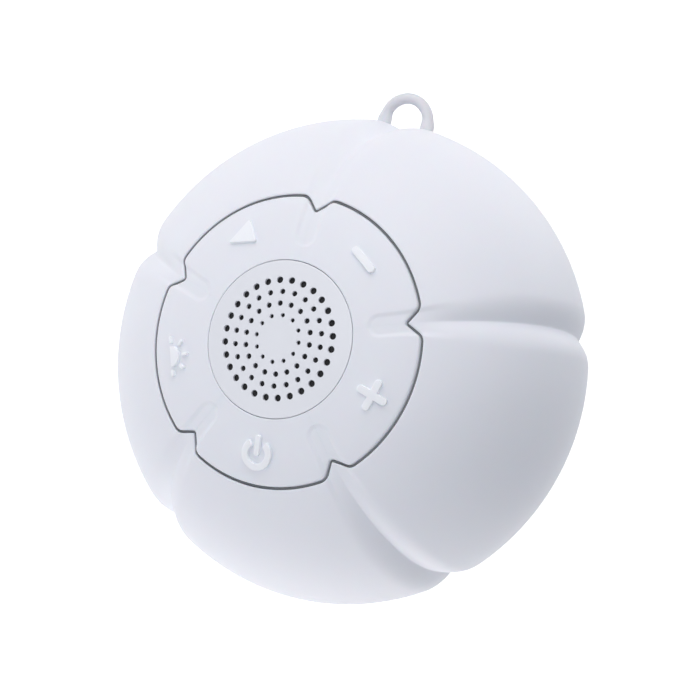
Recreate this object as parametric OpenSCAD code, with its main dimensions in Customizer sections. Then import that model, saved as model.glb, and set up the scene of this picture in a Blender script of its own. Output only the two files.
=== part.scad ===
// Shower speaker: a five-lobed ball in a soft white skin, with five keys round a drilled grille,
// a hanging loop on top, a charging port under a hinged cover and a suction cup for the wall.
//
// Every module is drawn in the bench frame: face up, origin at the middle of the widest section,
// +Z out through the grille, +Y towards the loop. in_place() stands the part on its wall: +Z up,
// grille towards -Y, origin at the centre of the suction cup's rim. Sizes are in millimetres.

/* [Body] */
// Radius of the body at its widest section
body_r = 45; // [44:0.5:46]
// Height of the grille's crown above the widest section
front_rise = 31.8; // [31.4:0.2:32.4]
// Radius of the shallow dome that carries the keys and the grille
dome_r = 95; // [92:1:100]
// Distance from the widest section back to the flat rear
rear_drop = 27.5; // [27:0.5:28]
// Distance from the widest section back to the wall
wall_drop = 38; // [37.5:0.5:39]
// Thickness of the soft outer skin
skin_t = 1.5; // [1.3:0.1:1.6]
// Thickness of the rigid housings under the skin
housing_t = 2; // [1.8:0.1:2.2]

/* [Lobes] */
// Number of lobes, each with its own key
lobes = 5; // [5]
// Depth of a groove at the widest section
groove_depth = 2.1; // [1.6:0.1:2.2]
// Half the width of a groove at the widest section
groove_half_w = 5.5; // [5:0.5:6]
// Radius of the arc that a groove's floor follows from front to back
groove_path_r = 30.76; // [30.7:0.02:30.9]

/* [Keys] */
// Radius of the key panel over its lobes
panel_r = 26.75; // [26.5:0.25:27]
// Radius at which the panel's notches bottom out
notch_r = 23.95; // [23.5:0.05:24.2]
// Half the angle of a notch, in degrees
notch_half_angle = 46; // [42:1:50]
// Radius of the rounded shoulders of a notch
notch_shoulder_r = 1.8; // [1.4:0.2:2]
// Width of the shadow gap between the keys and the skin
seam_gap = 0.5; // [0.4:0.05:0.6]
// Width of the hairline between neighbouring keys
key_gap = 0.1; // [0.08:0.02:0.2]
// Thickness of a key
key_t = 1.6; // [1.4:0.1:1.8]
// Distance a key travels when pressed
key_travel = 0.4; // [0.2:0.1:0.5]
// Radius of the circle on which the keys' stems and switches lie
key_ring_r = 21.3; // [21:0.1:21.6]
// Radius of a key's stem
stem_r = 2; // [1.8:0.1:2.2]
// Height of the symbols above a key
symbol_rise = 0.45; // [0.3:0.05:0.6]
// Overall size of a symbol
symbol_size = 6.2; // [5.6:0.1:6.4]
// Depth of the valley between two keys
valley_depth = 0.45; // [0.3:0.05:0.5]
// Half the width of the valley between two keys
valley_half_w = 3.1; // [2.8:0.1:3.2]

/* [Grille] */
// Radius of the grille disc
grille_r = 14.6; // [14.4:0.05:14.65]
// Spacing of the rings of sound holes
hole_pitch = 2.182; // [2.1:0.02:2.2]
// Number of holes in each ring, from the inside out
hole_counts = [12, 18, 22, 28]; // [10:1:30]
// Radius of the holes in each ring, from the inside out
hole_radii = [0.39, 0.5, 0.5, 0.62]; // [0.35:0.01:0.65]

/* [Loop] */
// Radius of the hanging loop's opening
loop_hole_r = 3.5; // [3.4:0.05:3.6]
// Radius of the loop's round section
loop_wire_r = 1.05; // [1:0.05:1.15]
// Distance of the loop's centre from the body's axis
loop_centre_r = 45.4; // [45.2:0.1:45.6]

/* [Wall mount] */
// Radius of the suction cup's rim
cup_r = 25.5; // [24:0.5:26]
// Width of the flat band where the rim meets the wall
cup_band = 1.6; // [1.2:0.2:2]
// Depth of the hollow inside the suction cup
cup_hollow = 5.2; // [4.6:0.2:5.4]

/* [Charging port] */
// Angle of the port round the body's rear shoulder, in degrees behind the widest section
port_angle = 50; // [48:1:52]
// Width and height of the port cover
cover_size = [13, 7.4]; // [7:0.1:13.5]

/* [Hidden] */

$fn = 96;
fit = 0.05;
reach = 100;

// Angles of the grooves and of the keys, counter-clockwise from the right as the face is seen
lobe_step = 360 / lobes;
first_crease = 18;
crease_angles = [for (i = [0 : lobes - 1]) first_crease + i * lobe_step];
minus_angle = 54;
play_angle = 126;
lamp_angle = 198;
power_angle = 270;
plus_angle = 342;
key_angles = [minus_angle, play_angle, lamp_angle, power_angle, plus_angle];

// The body's side view: the dome's arc runs tangent into the shoulder's arc
dome_z = front_rise - dome_r;
shoulder_x = (pow(dome_z, 2) - pow(dome_r - body_r, 2)) / (2 * (dome_r - body_r));
shoulder_r = body_r - shoulder_x;
tangent_sin = shoulder_x / (dome_r - shoulder_r);
groove_x = body_r - groove_depth - groove_path_r;
groove_flank_r = (pow(groove_half_w, 2) + pow(groove_depth, 2)) / (2 * groove_depth);
groove_front_angle = 70;
groove_rear_angle = 100;

// Layers of the body, as depths below the outer surface
housing_depth = skin_t + fit;
cavity_depth = housing_depth + housing_t;
deck_depth = key_t + 1;
deck_t = 1.6;
membrane_t = 0.4;

// Closing joint of the two housings
joint_bore_r = 39.2;
joint_bore_h = 6.7;
spigot_r = 39;
spigot_wall = 2.4;
spigot_h = 5.4;
o_ring_r = 0.75;
o_ring_z = 2.7;
post_ring_r = 33;
post_r = 3.4;
screw_head_z = -6;

// Foot of the hanging loop, clamped between the housings under the skin
loop_foot = [13, 1.1, 6];
loop_foot_r = 40.75;

// Switches under the keys
board_z = 20.6;
board_t = 1;
board_inner_r = 18.2;
board_outer_r = 27;
switch_w = 6;
switch_h = 3;
plunger_r = 1.7;
plunger_top = board_z + switch_h + 0.7;
plunger_well = 1.2;
board_post_r = 24.4;

// Loudspeaker
collar_r = 12.8;
collar_wall = 1.6;
collar_z = 18.5;
driver_r = 18;
gasket_t = 0.8;
driver_z = collar_z - gasket_t;
driver_screw_ring = 16.6;
driver_screw_angles = [45, 135, 225, 315];
roll_r = 13.1;
roll_z = driver_z - 0.3;

// Lamp and electronics
lamp_board_t = 1.2;
main_board_z = -17.5;
main_board_t = 1.2;
main_board_r = 28.5;
battery_size = [38, 26, 6.5];
battery_z = -14.4;
tray_wall = 1.2;
lug_spots = [for (x = [-1, 1], y = [-1, 1]) [x * 17, y * 17.5]];

// Rear plate and suction cup
plate_z = -rear_drop - 1.35;
plate_r = 26;
skin_hole_r = 22;
plate_screw_ring = 17;
stud_r = 2.5;
neck_r = 7;

// Charging port, drawn in its own frame: +Z out of the skin, +Y towards the widest section
port_floor = -1.6;
hinge_y = 4.2;
hinge_z = -1.25;
knuckle_r = 0.95;
hinge_pin_r = 0.5;
knuckle_half = 4.4;
ear_end = 6.5;
pin_length = 12.6;
socket_size = [8.9, 3.2, 7];

module in_place() {
    translate([0, -wall_drop, 0]) rotate([90, 0, 0]) children();
}

module at_port() {
    translate([0, -(shoulder_x + shoulder_r * cos(port_angle)), -shoulder_r * sin(port_angle)])
        rotate([90 + port_angle, 0, 0])
            children();
}

module tube(outer, inner, bottom, top) {
    translate([0, 0, bottom]) difference() {
        cylinder(r = outer, h = top - bottom);
        translate([0, 0, -1]) cylinder(r = inner, h = top - bottom + 2);
    }
}

module rod(radius, bottom, top) {
    translate([0, 0, bottom]) cylinder(r = radius, h = top - bottom);
}

module round_bar(length, width) {
    square([length - width, width], center = true);
    for (side = [-1, 1]) translate([side * (length - width) / 2, 0]) circle(width / 2);
}

module on_ring(radius, angles) {
    for (angle = angles) rotate(angle) translate([radius, 0, 0]) children();
}

// ---------- the lobed form ----------

module form_profile(depth) {
    split_x = (dome_r - depth) * tangent_sin;
    tall = front_rise + rear_drop;
    intersection() {
        translate([0, dome_z]) circle(dome_r - depth);
        translate([0, depth - rear_drop]) square([split_x, tall]);
    }
    intersection() {
        translate([shoulder_x, 0]) circle(shoulder_r - depth);
        translate([split_x, depth - rear_drop]) square([body_r, tall]);
    }
}

module groove_cutter(depth) {
    outward = 2.5;
    translate([groove_x, 0, 0])
        rotate([90, 0, 0])
            rotate([0, 0, -groove_rear_angle])
                rotate_extrude(angle = groove_front_angle + groove_rear_angle)
                    difference() {
                        translate([groove_path_r - depth, -groove_half_w])
                            square([groove_depth + outward, 2 * groove_half_w]);
                        for (side = [-1, 1])
                            translate([groove_path_r + groove_depth - depth - groove_flank_r,
                                    side * groove_half_w])
                                circle(groove_flank_r);
                    }
}

module lobed_form(depth) {
    difference() {
        rotate_extrude() form_profile(depth);
        for (angle = crease_angles) rotate(angle) groove_cutter(depth);
    }
}

module dome_ball(depth) {
    translate([0, 0, dome_z]) sphere(dome_r - depth);
}

module dome_layer(top_depth, bottom_depth) {
    difference() {
        intersection() {
            rod(body_r, 0, reach);
            dome_ball(top_depth);
        }
        dome_ball(bottom_depth);
    }
}

// ---------- the key panel ----------

function direction(angle) = [cos(angle), sin(angle)];

module half_notch(grow) {
    rim = panel_r + grow;
    tip = notch_r + grow / sin(notch_half_angle);
    shoulder = notch_shoulder_r + grow;
    bearing = notch_half_angle + asin((shoulder - tip * sin(notch_half_angle)) / (rim - shoulder));
    centre = (rim - shoulder) * direction(bearing);
    difference() {
        polygon([[tip, 0], centre + shoulder * direction(notch_half_angle - 90), centre,
            (rim + 2) * direction(bearing), [rim + 2, 0]]);
        translate(centre) circle(shoulder);
    }
}

module panel_outline(grow) {
    difference() {
        circle(panel_r + grow);
        for (angle = crease_angles) rotate(angle) {
            half_notch(grow);
            mirror([0, 1]) half_notch(grow);
        }
    }
}

module key_outline() {
    apex = key_gap / 2 / sin(lobe_step / 2);
    difference() {
        intersection() {
            rotate(lobe_step / 2 - first_crease) panel_outline(0);
            polygon([[apex, 0], [apex, 0] + 40 * direction(-lobe_step / 2),
                [60, 0], [apex, 0] + 40 * direction(lobe_step / 2)]);
        }
        circle(grille_r + 0.15);
    }
}

module valley() {
    slope = asin(key_ring_r / dome_r);
    bend = (pow(valley_half_w, 2) + pow(valley_depth, 2)) / (2 * valley_depth);
    lift = dome_r + bend - valley_depth;
    inner_end = 1.9;
    translate([lift * sin(slope), 0, dome_z + lift * cos(slope)]) rotate([0, 90 + slope, 0]) {
        translate([0, 0, -inner_end]) cylinder(r = bend, h = 14);
        translate([0, 0, -inner_end]) sphere(bend);
    }
}

// A key lies along +X here, and its symbol's top points at the grille
module key_form() {
    difference() {
        intersection() {
            linear_extrude(reach) key_outline();
            dome_layer(0, key_t);
        }
        for (side = [-1, 1]) rotate(side * lobe_step / 2) valley();
    }
    intersection() {
        translate([key_ring_r, 0, 0]) rod(stem_r, plunger_top + fit, front_rise);
        dome_ball(key_t / 2);
    }
    intersection() {
        translate([key_ring_r, 0, 0]) rotate(90) linear_extrude(reach) children();
        dome_layer(-symbol_rise, key_t / 2);
    }
}

module minus_symbol() {
    round_bar(symbol_size, 1.5);
}

module plus_symbol() {
    round_bar(symbol_size, 1.4);
    rotate(90) round_bar(symbol_size, 1.4);
}

module play_symbol() {
    polygon([[-2.4, -2.4], [3.2, 0], [-2.4, 2.4]]);
}

module power_symbol() {
    opening = 36;
    difference() {
        circle(symbol_size / 2);
        circle(symbol_size / 2 - 1.25);
        polygon([[0, 0], 6 * direction(90 - opening), 6 * direction(90 + opening)]);
    }
    translate([0, 1.2]) rotate(90) round_bar(3.9, 1.25);
}

module lamp_symbol() {
    intersection() {
        translate([0, -1.6]) circle(2);
        translate([-3, -1.6]) square([6, 3]);
    }
    for (angle = [0 : 45 : 180])
        translate([0, -1.4] + 3.1 * direction(angle)) rotate(angle) round_bar(1.2, 0.6);
}

// ---------- skin and housings ----------

// A round wire whose inner side is flat, so that the loop's opening is a true half cylinder
module loop_section(grow) {
    wire = loop_wire_r + grow;
    difference() {
        translate([loop_hole_r + loop_wire_r - 0.1, 0]) circle(wire);
        translate([0, -wire]) square([loop_hole_r - grow, 2 * wire]);
    }
}

// Half a ring on two straight legs that reach down to the foot
module loop_arch(grow) {
    leg = loop_centre_r - loop_foot_r;
    translate([0, loop_centre_r, 0]) {
        rotate_extrude(angle = 180) loop_section(grow);
        for (side = [0, 1]) mirror([side, 0, 0])
            rotate([90, 0, 0]) linear_extrude(leg) loop_section(grow);
    }
}

module port_window(grow, bottom) {
    back_y = -cover_size.y / 2;
    front_y = hinge_y + knuckle_r + 0.45;
    translate([-cover_size.x / 2 - grow, back_y - grow, bottom])
        cube([cover_size.x + 2 * grow, front_y - back_y + 2 * grow, 8]);
}

module outer_skin() {
    color("white") in_place() difference() {
        lobed_form(0);
        lobed_form(skin_t);
        linear_extrude(reach) panel_outline(seam_gap);
        rod(skin_hole_r, -rear_drop - 1, 0);
        loop_arch(fit);
        at_port() port_window(0.3, -5);
    }
}

module hinge_rod(radius, length) {
    translate([0, hinge_y, hinge_z]) rotate([0, 90, 0]) cylinder(r = radius, h = length, center = true);
}

// Two ears beside the cover's knuckle that hold the hinge pin
module hinge_ears() {
    difference() {
        union() {
            hinge_rod(knuckle_r, 2 * ear_end);
            translate([-ear_end, hinge_y - knuckle_r, port_floor - 0.5])
                cube([2 * ear_end, 2 * knuckle_r, hinge_z - port_floor + 0.5]);
        }
        translate([-knuckle_half - 0.15, 0, -5]) cube([2 * knuckle_half + 0.3, 10, 10]);
    }
}

module screw_posts(low, high) {
    intersection() {
        on_ring(post_ring_r, key_angles) rod(post_r, low, high);
        lobed_form(cavity_depth - 1);
    }
}

module loop_foot(grow) {
    translate([-loop_foot.x / 2 - grow, loop_foot_r - loop_foot.y / 2 - grow, -loop_foot.z / 2 - grow])
        cube(loop_foot + [2, 1, 2] * grow);
}

module front_housing() {
    color("ghostwhite") in_place() difference() {
        union() {
            difference() {
                intersection() {
                    lobed_form(housing_depth);
                    rod(body_r, 0, reach);
                }
                intersection() {
                    lobed_form(cavity_depth);
                    dome_ball(deck_depth + deck_t);
                    rod(body_r, joint_bore_h - 0.1, reach);
                }
                rod(joint_bore_r, -1, joint_bore_h);
            }
            screw_posts(0, 24);
            intersection() {
                union() {
                    tube(collar_r + collar_wall, collar_r - 1, collar_z, reach / 2);
                    tube(driver_r, collar_r - 1, collar_z, collar_z + 0.9);
                    on_ring(driver_screw_ring, driver_screw_angles) rod(1.5, collar_z, 26);
                    on_ring(board_post_r, crease_angles) rod(1.5, board_z, 26);
                }
                dome_ball(key_t + fit);
            }
        }
        difference() {
            linear_extrude(reach) difference() {
                panel_outline(seam_gap);
                circle(collar_r + collar_wall);
            }
            dome_ball(deck_depth);
        }
        dome_layer(-1, key_t + fit);
        rod(collar_r, 0, reach);
        on_ring(key_ring_r, key_angles) rod(stem_r + fit, 15, reach);
        on_ring(post_ring_r, key_angles) rod(1.1, -1, 12);
        on_ring(driver_screw_ring, driver_screw_angles) rod(0.75, collar_z - 1, 24);
        on_ring(board_post_r, crease_angles) rod(0.65, board_z - 1, 24);
        loop_foot(fit);
        loop_arch(fit);
    }
}

module rear_housing() {
    color("gainsboro") in_place() difference() {
        union() {
            difference() {
                intersection() {
                    lobed_form(housing_depth);
                    rod(body_r, -reach, 0);
                }
                difference() {
                    lobed_form(cavity_depth);
                    tube(body_r, spigot_r - spigot_wall, -3, 1);
                }
            }
            tube(spigot_r, spigot_r - spigot_wall, -3, spigot_h);
            screw_posts(-24, 0);
            rod(5.5, -rear_drop + housing_depth, -18);
            for (spot = lug_spots) translate(spot) rod(2.2, -rear_drop + housing_depth, main_board_z);
            intersection() {
                at_port() translate([-9, -6, -4.6]) cube([18, 12.5, 4.5]);
                lobed_form(housing_depth);
            }
        }
        tube(spigot_r + 1, joint_bore_r - 2 * o_ring_r - 0.1, o_ring_z - 0.9, o_ring_z + 0.9);
        rod(3.2, -rear_drop, -18.9);
        on_ring(plate_screw_ring, [90, 210, 330]) rod(0.95, -rear_drop, -20);
        on_ring(post_ring_r, key_angles) {
            rod(1.35, -20, 1);
            rod(2.6, -reach, screw_head_z);
        }
        for (spot = lug_spots) translate(spot) rod(0.85, -23, main_board_z + 1);
        loop_foot(fit);
        loop_arch(fit);
        at_port() {
            difference() {
                port_window(0.3, port_floor);
                difference() {
                    hinge_ears();
                    hinge_rod(hinge_pin_r, pin_length);
                }
            }
            translate([-4.7, -1.8, -12]) cube([9.4, 3.6, 12]);
            hinge_rod(knuckle_r + 0.15, 2 * knuckle_half + 0.3);
            hinge_rod(hinge_pin_r, pin_length);
        }
    }
}

module housing_o_ring() {
    color("dimgray") in_place() translate([0, 0, o_ring_z]) rotate_extrude()
        translate([joint_bore_r - o_ring_r, 0]) circle(o_ring_r);
}

module pan_screw(shank_r, shank_l, head_r, head_h) {
    difference() {
        union() {
            cylinder(r = shank_r, h = shank_l);
            rod(head_r, -head_h, 0);
        }
        for (turn = [0, 90]) rotate(turn)
            translate([-head_r * 0.55, -head_r * 0.12, -head_h - 1])
                cube([head_r * 1.1, head_r * 0.24, 1 + head_h / 2]);
    }
}

module housing_screws() {
    color("silver") in_place() on_ring(post_ring_r, key_angles)
        translate([0, 0, screw_head_z]) pan_screw(1.05, 17, 2.4, 1.7);
}

module hanging_loop() {
    color("white") in_place() {
        loop_arch(0);
        loop_foot(0);
    }
}

// ---------- rear plate and suction cup ----------

module rear_plate() {
    color("white") in_place() difference() {
        union() {
            rod(plate_r, plate_z, -rear_drop);
            rod(skin_hole_r - fit, plate_z, -rear_drop + housing_depth);
        }
        rod(neck_r + fit, plate_z - 1, plate_z + 0.8);
        rod(stud_r + 0.3, -reach, 0);
        on_ring(plate_screw_ring, [90, 210, 330]) {
            rod(1.15, -reach, 0);
            rod(2, plate_z - 1, plate_z + 1.2);
        }
    }
}

module rear_plate_screws() {
    color("silver") in_place() on_ring(plate_screw_ring, [90, 210, 330])
        translate([0, 0, plate_z + 1.2]) pan_screw(0.9, 6, 1.9, 1.1);
}

module suction_cup() {
    hollow_r = (pow(cup_r - cup_band, 2) + pow(cup_hollow, 2)) / (2 * cup_hollow);
    color("aliceblue", 0.8) in_place() difference() {
        union() {
            rotate_extrude() polygon([[0, plate_z + 0.8], [neck_r, plate_z + 0.8],
                [neck_r, -30.4], [12, -31.6], [19, -33.9], [24.2, -36.5], [cup_r, -37.4],
                [cup_r, -wall_drop], [0, -wall_drop]]);
            translate([-5, -31, -wall_drop]) cube([10, 8, 1]);
            translate([0, -31, -wall_drop]) cylinder(r = 5, h = 1);
        }
        translate([0, 0, -wall_drop + cup_hollow - hollow_r]) sphere(hollow_r);
        rod(stud_r, -30.2, 0);
        rod(5, -31.6, -30.2);
    }
}

module cup_stud() {
    color("silver") in_place() {
        rod(stud_r, -30.2, -20);
        rod(5, -31.6, -30.2);
    }
}

module stud_insert() {
    color("goldenrod") in_place() tube(3.2, stud_r, -rear_drop + housing_depth, -18.9);
}

// ---------- keys and switches ----------

module key_minus() {
    color("white") in_place() rotate(minus_angle) key_form() minus_symbol();
}

module key_play() {
    color("white") in_place() rotate(play_angle) key_form() play_symbol();
}

module key_lamp() {
    color("white") in_place() rotate(lamp_angle) key_form() lamp_symbol();
}

module key_power() {
    color("white") in_place() rotate(power_angle) key_form() power_symbol();
}

module key_plus() {
    color("white") in_place() rotate(plus_angle) key_form() plus_symbol();
}

module switch_plunger(angle) {
    color("black") in_place() on_ring(key_ring_r, [angle])
        rod(plunger_r, board_z + switch_h - plunger_well + key_travel + fit, plunger_top);
}

module plunger_minus() { switch_plunger(minus_angle); }
module plunger_play() { switch_plunger(play_angle); }
module plunger_lamp() { switch_plunger(lamp_angle); }
module plunger_power() { switch_plunger(power_angle); }
module plunger_plus() { switch_plunger(plus_angle); }

module panel_seal() {
    color("dimgray") in_place() intersection() {
        linear_extrude(reach) difference() {
            panel_outline(seam_gap);
            panel_outline(0.15);
        }
        dome_layer(1.1, deck_depth);
    }
}

module key_membrane() {
    color("lightgray") in_place() difference() {
        intersection() {
            linear_extrude(reach) difference() {
                panel_outline(-0.3);
                circle(collar_r + collar_wall + fit);
            }
            dome_layer(deck_depth - fit - membrane_t, deck_depth - fit);
        }
        on_ring(key_ring_r, key_angles) rod(stem_r + fit, 15, reach);
    }
}

module button_board() {
    color("seagreen") in_place() difference() {
        tube(board_outer_r, board_inner_r, board_z - board_t, board_z);
        on_ring(board_post_r, crease_angles) rod(0.75, board_z - 2, board_z + 1);
    }
}

module tact_switches() {
    color("darkslategray") in_place() on_ring(key_ring_r, key_angles) difference() {
        translate([-switch_w / 2, -switch_w / 2, board_z]) cube([switch_w, switch_w, switch_h]);
        rod(plunger_r + fit, board_z + switch_h - plunger_well, board_z + switch_h + 1);
    }
}

module button_board_screws() {
    color("silver") in_place() on_ring(board_post_r, crease_angles)
        translate([0, 0, board_z - board_t]) pan_screw(0.6, 4, 1.3, 0.9);
}

// ---------- grille and loudspeaker ----------

module grille_disc() {
    color("whitesmoke") in_place() difference() {
        intersection() {
            rod(grille_r, 0, reach);
            dome_layer(0, key_t);
        }
        for (ring = [0 : len(hole_counts) - 1])
            on_ring(hole_pitch * (ring + 2), [for (i = [1 : hole_counts[ring]]) i * 360 / hole_counts[ring]])
                rod(hole_radii[ring], 25, reach);
    }
}

module grille_cloth() {
    color("black") in_place() rod(collar_r - fit, 28.4, 28.7);
}

module driver_gasket() {
    color("black") in_place() difference() {
        tube(driver_r, 15, driver_z, collar_z);
        on_ring(driver_screw_ring, driver_screw_angles) rod(0.85, driver_z - 1, collar_z + 1);
    }
}

module driver_screws() {
    color("silver") in_place() on_ring(driver_screw_ring, driver_screw_angles)
        translate([0, 0, driver_z - 0.8]) pan_screw(0.7, 5, 1.05, 0.9);
}

module driver_frame() {
    color("dimgray") in_place() difference() {
        rotate_extrude() polygon([[driver_r, driver_z], [driver_r, driver_z - 0.8],
            [15.5, driver_z - 0.8], [12.6, 7], [12.6, 5.8], [6.6, 5.8], [6.6, 6.6], [11.8, 6.6],
            [14.7, driver_z - 0.8], [14.7, driver_z]]);
        on_ring(driver_screw_ring, driver_screw_angles) rod(0.85, 10, collar_z);
        for (turn = [0 : 90 : 270]) rotate(turn) translate([8, -4, 8]) cube([10, 8, 6.5]);
    }
}

module driver_top_plate() {
    color("silver") in_place() tube(11.6, 6.3, 4.2, 5.8);
}

module driver_magnet() {
    color("darkgray") in_place() tube(11, 7.6, 0.4, 4.2);
}

module driver_yoke() {
    color("silver") in_place() {
        rod(11.6, -1.2, 0.4);
        rod(4.9, 0.4, 5.8);
    }
}

module driver_surround() {
    color("black") in_place() rotate_extrude() {
        difference() {
            translate([roll_r, roll_z]) circle(1.4);
            translate([roll_r, roll_z]) circle(1);
            translate([roll_r - 2, roll_z]) square(4);
        }
        for (land = [roll_r - 1.6, roll_r + 1]) translate([land, roll_z]) square([0.6, 0.3]);
    }
}

module speaker_cone() {
    color("darkslategray") in_place() rotate_extrude()
        polygon([[6.05, 8.8], [6.05, 9.5], [11.4, 16.6], [11.4, 16]]);
}

module dust_cap() {
    color("black") in_place() intersection() {
        rotate_extrude() difference() {
            translate([0, 4.4]) circle(8.3);
            translate([0, 4.4]) circle(7.9);
            translate([-10, -10]) square([10, 30]);
        }
        rod(6, 9.9, 14);
    }
}

module voice_coil() {
    color("chocolate") in_place() tube(6, 5.3, 2.2, 9.9);
}

// ---------- lamp, boards and battery ----------

module lamp_board() {
    color("ivory") in_place() difference() {
        tube(joint_bore_r - 0.3, 30.5, spigot_h, spigot_h + lamp_board_t);
        on_ring(post_ring_r, key_angles) rod(post_r + 0.2, 0, 10);
    }
}

module lamp_leds() {
    color("khaki") in_place() for (side = [-1, 1])
        on_ring(35.6, [for (angle = crease_angles) angle + side * lobe_step / 4])
            translate([-1.4, -1.75, spigot_h + lamp_board_t]) cube([2.8, 3.5, 1.9]);
}

module main_board() {
    color("seagreen") in_place() difference() {
        rod(main_board_r, main_board_z, main_board_z + main_board_t);
        translate([-11, -40, -30]) cube([22, 18.5, 40]);
        for (spot = lug_spots) translate(spot) rod(1, -30, 0);
    }
}

module board_chips() {
    top = main_board_z + main_board_t;
    color("black") in_place() {
        translate([-12, 16, top]) cube([7, 7, 0.9]);
        translate([-2, 17, top]) cube([5, 5, 1.2]);
        translate([6, 16.5, top]) cube([6, 4, 1.4]);
        translate([21.4, 5, top]) cube([4, 7, 1.2]);
        translate([-25, 5, top]) cube([3.4, 7, 1.2]);
    }
}

module battery() {
    color("steelblue") in_place() translate([-battery_size.x / 2, -battery_size.y / 2, battery_z])
        cube(battery_size);
}

module battery_tray() {
    outer = battery_size + [2, 2, 1] * (tray_wall + 0.1);
    floor_z = battery_z - 0.1 - tray_wall;
    color("black") in_place() difference() {
        union() {
            translate([-outer.x / 2, -outer.y / 2, floor_z]) cube([outer.x, outer.y, 6]);
            for (spot = lug_spots) translate(spot) rod(2.2, main_board_z + main_board_t, floor_z + 2);
            for (side = [-1, 1]) translate([side * lug_spots[3].x - 2.2, -lug_spots[3].y, floor_z])
                cube([4.4, 2 * lug_spots[3].y, tray_wall]);
        }
        translate([-outer.x / 2 + tray_wall, -outer.y / 2 + tray_wall, battery_z - 0.1])
            cube([outer.x - 2 * tray_wall, outer.y - 2 * tray_wall, 10]);
        for (spot = lug_spots) translate(spot) {
            rod(1, -30, 0);
            rod(1.9, floor_z + 2, 0);
        }
    }
}

module board_screws() {
    color("silver") in_place() for (spot = lug_spots)
        translate([spot.x, spot.y, battery_z - 0.1 - tray_wall + 2]) mirror([0, 0, 1])
            pan_screw(0.8, 7.6, 1.8, 1.1);
}

module usb_socket() {
    color("silver") in_place() at_port() translate([0, 0, -2 - socket_size.z]) difference() {
        translate([-socket_size.x / 2, -socket_size.y / 2, 0]) cube(socket_size);
        translate([-socket_size.x / 2 + 0.4, -socket_size.y / 2 + 0.4, 1])
            cube([socket_size.x - 0.8, socket_size.y - 0.8, 10]);
    }
}

module port_board() {
    color("seagreen") in_place() at_port() translate([-5.5, -socket_size.y / 2, -10])
        cube([11, socket_size.y, 1]);
}

module port_cover() {
    color("white") in_place() at_port() difference() {
        union() {
            translate([-cover_size.x / 2, -cover_size.y / 2, port_floor + fit])
                cube([cover_size.x, cover_size.y / 2 + hinge_y - knuckle_r - 0.35, 1.25]);
            translate([-knuckle_half, -cover_size.y / 2, port_floor + fit])
                cube([2 * knuckle_half, cover_size.y / 2 + hinge_y, 1.25]);
            hinge_rod(knuckle_r, 2 * knuckle_half);
            translate([-3.6, -0.9, port_floor - 1]) cube([7.2, 1.8, 1.5]);
        }
        hinge_rod(hinge_pin_r + fit, 20);
    }
}

module cover_pin() {
    color("silver") in_place() at_port() hinge_rod(hinge_pin_r, pin_length);
}

module speaker_wires() {
    color("crimson") in_place() for (side = [-1, 1])
        translate([21.3, side * 1.4, 0]) rod(0.6, main_board_z + main_board_t, 8);
}

module button_ribbon() {
    color("tan") in_place() translate([-24.2, -3, main_board_z + main_board_t])
        cube([0.3, 6, board_z - board_t - main_board_z - main_board_t]);
}

outer_skin();
front_housing();
rear_housing();
housing_o_ring();
housing_screws();
hanging_loop();
rear_plate();
rear_plate_screws();
suction_cup();
cup_stud();
stud_insert();
key_minus();
key_play();
key_lamp();
key_power();
key_plus();
plunger_minus();
plunger_play();
plunger_lamp();
plunger_power();
plunger_plus();
panel_seal();
key_membrane();
button_board();
tact_switches();
button_board_screws();
grille_disc();
grille_cloth();
driver_gasket();
driver_screws();
driver_frame();
driver_top_plate();
driver_magnet();
driver_yoke();
driver_surround();
speaker_cone();
dust_cap();
voice_coil();
lamp_board();
lamp_leds();
main_board();
board_chips();
battery();
battery_tray();
board_screws();
usb_socket();
port_board();
port_cover();
cover_pin();
speaker_wires();
button_ribbon();
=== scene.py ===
"""Shower speaker: the looks of a five-lobed, splash-proof speaker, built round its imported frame.

Pieces are shaped on a bench in millimetres, face up, with the origin at the middle of the widest
section, +Z out through the grille and +Y towards the loop. Bench.stand() then stands each one on the
wall, in metres, in the frame's own axes.
"""
import logging
import math
from collections.abc import Callable, Iterable, Sequence
from dataclasses import dataclass, field
from enum import Enum

import bpy
import numpy as np
from mathutils import Matrix, Vector


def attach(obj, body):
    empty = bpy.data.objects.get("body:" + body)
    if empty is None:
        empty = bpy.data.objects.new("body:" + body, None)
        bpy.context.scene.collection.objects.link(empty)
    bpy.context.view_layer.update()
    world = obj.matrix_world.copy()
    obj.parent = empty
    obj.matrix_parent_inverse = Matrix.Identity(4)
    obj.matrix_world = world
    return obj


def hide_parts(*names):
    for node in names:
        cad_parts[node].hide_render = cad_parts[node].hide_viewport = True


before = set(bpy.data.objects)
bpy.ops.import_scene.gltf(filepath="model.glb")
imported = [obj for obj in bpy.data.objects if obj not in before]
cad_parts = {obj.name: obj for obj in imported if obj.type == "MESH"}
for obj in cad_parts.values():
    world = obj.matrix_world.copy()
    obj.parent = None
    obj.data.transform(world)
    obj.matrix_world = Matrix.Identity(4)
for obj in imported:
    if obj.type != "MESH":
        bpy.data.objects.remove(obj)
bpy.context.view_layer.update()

logging.basicConfig(level=logging.INFO, format="%(name)s: %(message)s")
LOG = logging.getLogger("speaker")
MM = 0.001
Array = np.ndarray
Point = tuple[float, float, float]


# ---------- finishes ----------


class Pattern(Enum):
    """The fine structure that a finish carries."""

    GRAIN = "grain"
    WEAVE = "weave"
    BRUSHED = "brushed"
    WOUND = "wound"
    TRACES = "traces"


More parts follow.
